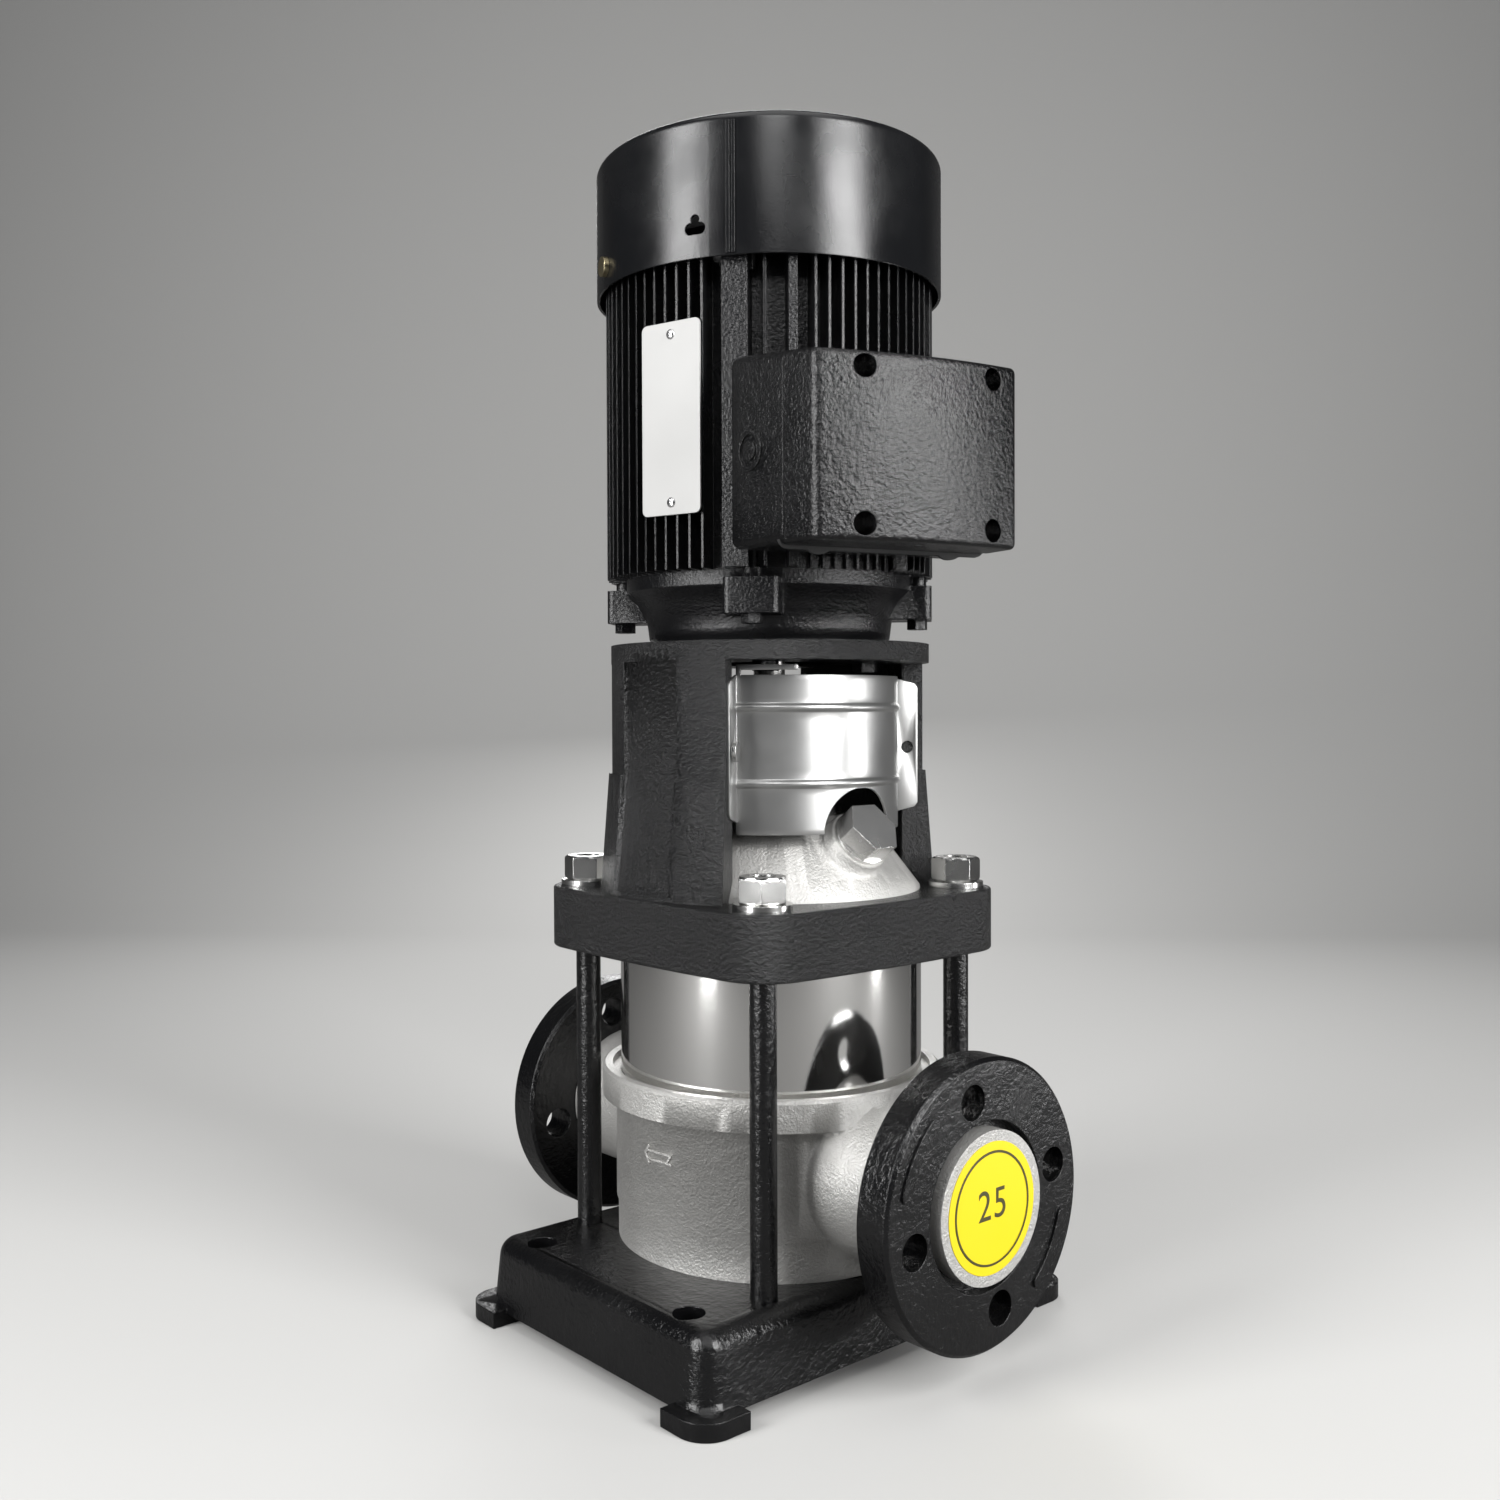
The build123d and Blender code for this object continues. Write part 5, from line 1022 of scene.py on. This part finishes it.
lid_work = bmesh.new()
lid_start = box_split + 0.0006
columns = []
for turned in [-1.0] + even(-0.93, 0.93, 60) + [1.0]:
    depth = box_edge + (box_crown - box_edge) * (1 - turned * turned)
    column = []
    for at_depth in (lid_start, depth):
        left, right, low, high = box_sides(at_depth)
        across = (left + right) / 2 + turned * (right - left) / 2
        column += [lid_work.verts.new(box_point(across, v, at_depth)) for v in (low, high)]
    columns.append(column)
for (_, _, low_1, high_1), (_, _, low_2, high_2) in zip(columns, columns[1:]):
    lid_work.faces.new((low_1, low_2, high_2, high_1))
for near, far in ((0, 2), (1, 3)):
    lid_work.faces.new([c[far] for c in columns] + [columns[-1][near], columns[0][near]])
for end in (columns[0], columns[-1]):
    lid_work.faces.new((end[0], end[1], end[3], end[2]))
lid_work.faces.new((columns[0][0], columns[0][1], columns[-1][1], columns[-1][0]))
for column in columns[1:-1]:
    for vert in column[:2]:
        lid_work.verts.remove(vert)
bmesh.ops.recalc_face_normals(lid_work, faces=lid_work.faces)
lid_work.normal_update()
back = {columns[0][0], columns[0][1], columns[-1][0], columns[-1][1]}
round_edges = [
    e for e in lid_work.edges
    if e.calc_face_angle(0) > math.radians(40) and not back.issuperset(e.verts)
]
bmesh.ops.bevel(
    lid_work, geom=round_edges, offset=box_corner, segments=5, profile=0.5, affect="EDGES",
    clamp_overlap=True,
)
box_lid = mesh_piece("box_lid", lid_work)

well_work = bmesh.new()
for u in well_across:
    for v in well_heights:
        loops = []
        for depth in (well_floor, box_crown + 0.01):
            loops.append([
                well_work.verts.new(box_point(
                    u + well_radius * math.cos(a), v + well_radius * math.sin(a), depth
                ))
                for a in even(0, math.tau, round_facets)[:-1]
            ])
        join_loops(well_work, loops)
        well_work.faces.new(loops[0])
        well_work.faces.new(loops[1])
bmesh.ops.recalc_face_normals(well_work, faces=well_work.faces)
screw_wells = mesh_piece("screw_wells", well_work)
cut = box_lid.modifiers.new("wells", "BOOLEAN")
cut.operation = "DIFFERENCE"
cut.object = screw_wells
lid_cut = settle(box_lid, box_edge_angle)
bpy.data.objects.remove(screw_wells)
dress(box_lid, "black_box_paint", box_body, "terminal_box_lid")
print("box lid has", len(lid_cut.polygons), "faces")

# each screw is moved from its place in the solid model to its well
solid_across, solid_high, solid_low = 0.0295, 0.3945, 0.3345
outward = Vector((math.cos(box_bearing), math.sin(box_bearing), 0))
sideways = Vector((-outward.y, outward.x, 0))
for vert in skins["lid_screws"].data.vertices:
    right_side, upper = vert.co.dot(sideways) > 0, vert.co.z > (solid_high + solid_low) / 2
    middle = (solid_across if right_side else -solid_across, solid_high if upper else solid_low)
    vert.co += sideways * (well_across[right_side] - middle[0])
    vert.co.z += well_heights[upper] - middle[1]

# raised knock-outs for cable entries on both side walls
knockout_depth, knockout_height = 0.080, 0.367
for side in (-1, 1):
    knockout_work = bmesh.new()
    for profile in (
        [(0.0078, -0.0003), (0.0078, 0.0008), (0.0062, 0.0008), (0.0062, -0.0003)],
        [(0.0038, -0.0003), (0.0038, 0.0008), (0.0001, 0.0008)],
    ):
        loops = []
        for radius, rise in profile:
            loop = []
            for a in even(0, math.tau, round_facets)[:-1]:
                depth = knockout_depth + radius * math.cos(a)
                wall = box_sides(depth)[0 if side < 0 else 1]
                loop.append(knockout_work.verts.new(box_point(
                    wall + side * rise, knockout_height + radius * math.sin(a), depth
                )))
            loops.append(loop)
        join_loops(knockout_work, loops)
        if len(profile) == 3:
            knockout_work.faces.new(loops[-1])
    bmesh.ops.recalc_face_normals(knockout_work, faces=knockout_work.faces)
    knockout_name = "knockout_right" if side > 0 else "knockout_left"
    knockout = mesh_piece(knockout_name, knockout_work, box_edge_angle)
    dress(knockout, "black_box_paint", box_body)
print("knock-outs on both side walls")

# %% [markdown]
# ## Cast marks
# The casing carries a raised arrow that shows which way the water flows, and each loose
# flange has two raised bars on its face between the holes. Both are drawn as flat outlines,
# then given height, the arrow wrapped round the casing and the bars bent round the bore.

# %% Cast marks
def raised_shape(name, outline, height, to_point, slot, body, smooth_angle=30):
    """Raises a closed flat outline. to_point turns (across, up, out) into a real point."""
    work = bmesh.new()
    foot = [work.verts.new(to_point(u, v, -0.0004)) for u, v in outline]
    top = [work.verts.new(to_point(u, v, height)) for u, v in outline]
    join_loops(work, (foot, top))
    work.faces.new(top)
    work.faces.new(list(reversed(foot)))
    bmesh.ops.triangulate(work, faces=work.faces)
    bmesh.ops.recalc_face_normals(work, faces=work.faces)
    return dress(mesh_piece(name, work, smooth_angle), slot, body)


def on_casing(across, up, out):
    """A point on the casing's wall, near the arrow. Across is positive towards the inlet."""
    return polar(0.0692 + out, math.radians(-85.5) + across / 0.0692, 0.081 + up)


arrow_strokes = [
    [(-0.0075, 0.0022), (0.0068, 0.0022), (0.0068, 0.0013), (-0.0075, 0.0013)],
    [(-0.0055, -0.0013), (0.0075, -0.0013), (0.0075, -0.0022), (-0.0055, -0.0022)],
    [(-0.0088, 0.0003), (-0.0062, 0.0042), (-0.0052, 0.0036), (-0.0074, 0.0003)],
    [(-0.0088, 0.0003), (-0.0074, 0.0003), (-0.0050, -0.0034), (-0.0060, -0.0040)],
    [(0.0068, 0.0022), (0.0076, 0.0018), (0.0056, -0.0013), (0.0047, -0.0013)],
]
for n, stroke in enumerate(arrow_strokes):
    raised_shape(
        f"flow_arrow_{n + 1}", stroke, 0.00055, on_casing, "cast_stainless", body_of_node["pump_casing"]
    )


def flange_bar(middle, half_angle, radius, half_width):
    """Outline of a bar with round ends, bent along a circle, as (angle, radius) pairs."""
    outline = [(middle + a, radius + half_width) for a in even(-half_angle, half_angle, 12)]
    for end in (1, -1):
        for a in even(0, math.pi, 6)[1:-1]:
            swing = half_width * math.sin(a) / radius
            outline.append((middle + end * (half_angle + swing), radius + end * half_width * math.cos(a)))
        if end == 1:
            outline += [(middle - a, radius - half_width) for a in even(-half_angle, half_angle, 12)]
    return outline


for port, node in ((1, "inlet_flange"), (-1, "outlet_flange")):
    port_low, port_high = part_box(node)
    face_x = port_high.x if port > 0 else port_low.x

    def on_flange(turned, radius, out):
        """A point on this flange's outer face."""
        return Vector((face_x + port * out, radius * math.cos(turned), 0.075 + radius * math.sin(turned)))

    for n, bar_angle in enumerate((147, -33)):
        raised_shape(
            f"{node}_bar_{n + 1}", flange_bar(math.radians(bar_angle), math.radians(17), 0.0485, 0.0024),
            0.0009, on_flange, "black_gloss_paint", body_of_node[node],
        )
print("cast marks:", len(arrow_strokes) + 4, "pieces")

# %% [markdown]
# ## Cover on the inlet
# A round yellow sticker keeps dirt out of the inlet until the pump is piped. It carries a
# thin printed ring and only the plain number of the port's size, 25.

# %% Cover on the inlet
cover_x, cover_z = 0.1252, 0.075


def ring_band(name, outer, inner, low_x, high_x, slot, facets=72):
    """A flat ring or disc that faces the inlet side, closed all round."""
    work = bmesh.new()
    rings = []
    for x, radius in ((low_x, outer), (high_x, outer - 0.00008), (high_x, inner)):
        rings.append([
            work.verts.new((x, radius * math.cos(a), cover_z + radius * math.sin(a)))
            for a in even(0, math.tau, facets)[:-1]
        ])
    join_loops(work, rings)
    if inner <= 0.0021:
        work.faces.new(rings[2])
    work.faces.new(list(reversed(rings[0])))
    bmesh.ops.recalc_face_normals(work, faces=work.faces)
    return dress(mesh_piece(name, work), slot, "pump_body")


ring_band("inlet_cover", 0.0258, 0.002, 0.12502, cover_x, "sticker_yellow")
ring_band("inlet_cover_line", 0.0223, 0.0213, cover_x - 0.0001, cover_x + 0.0002, "print_black")
number_curve = bpy.data.curves.new("inlet_cover_number", "FONT")
number_curve.body = "25"
number_curve.size = 0.017
number_curve.align_x = "CENTER"
number_curve.align_y = "CENTER"
number_curve.space_character = 1.1
number_curve.extrude = 0.00008
number_shape = bpy.data.objects.new("number_shape", number_curve)
bpy.context.scene.collection.objects.link(number_shape)
number_mesh = bpy.data.meshes.new_from_object(
    number_shape.evaluated_get(bpy.context.evaluated_depsgraph_get())
)
bpy.data.objects.remove(number_shape)
upright = Matrix(((0, 0, 1, cover_x), (1, 0, 0, 0), (0, 1, 0, cover_z + 0.001), (0, 0, 0, 1)))
number_mesh.transform(upright)
inlet_number = bpy.data.objects.new("inlet_cover_number", number_mesh)
bpy.context.scene.collection.objects.link(inlet_number)
dress(inlet_number, "print_black", "pump_body")
print("inlet cover 52 mm across")

# %% [markdown]
# ## View transform
# The dressed pump should keep to the solid model's box. The terminal box's lid reaches a quarter
# of a millimetre past it, on the inlet side. The Standard view transform keeps colours as set.

# %% Finish
bpy.context.scene.view_settings.view_transform = "Standard"
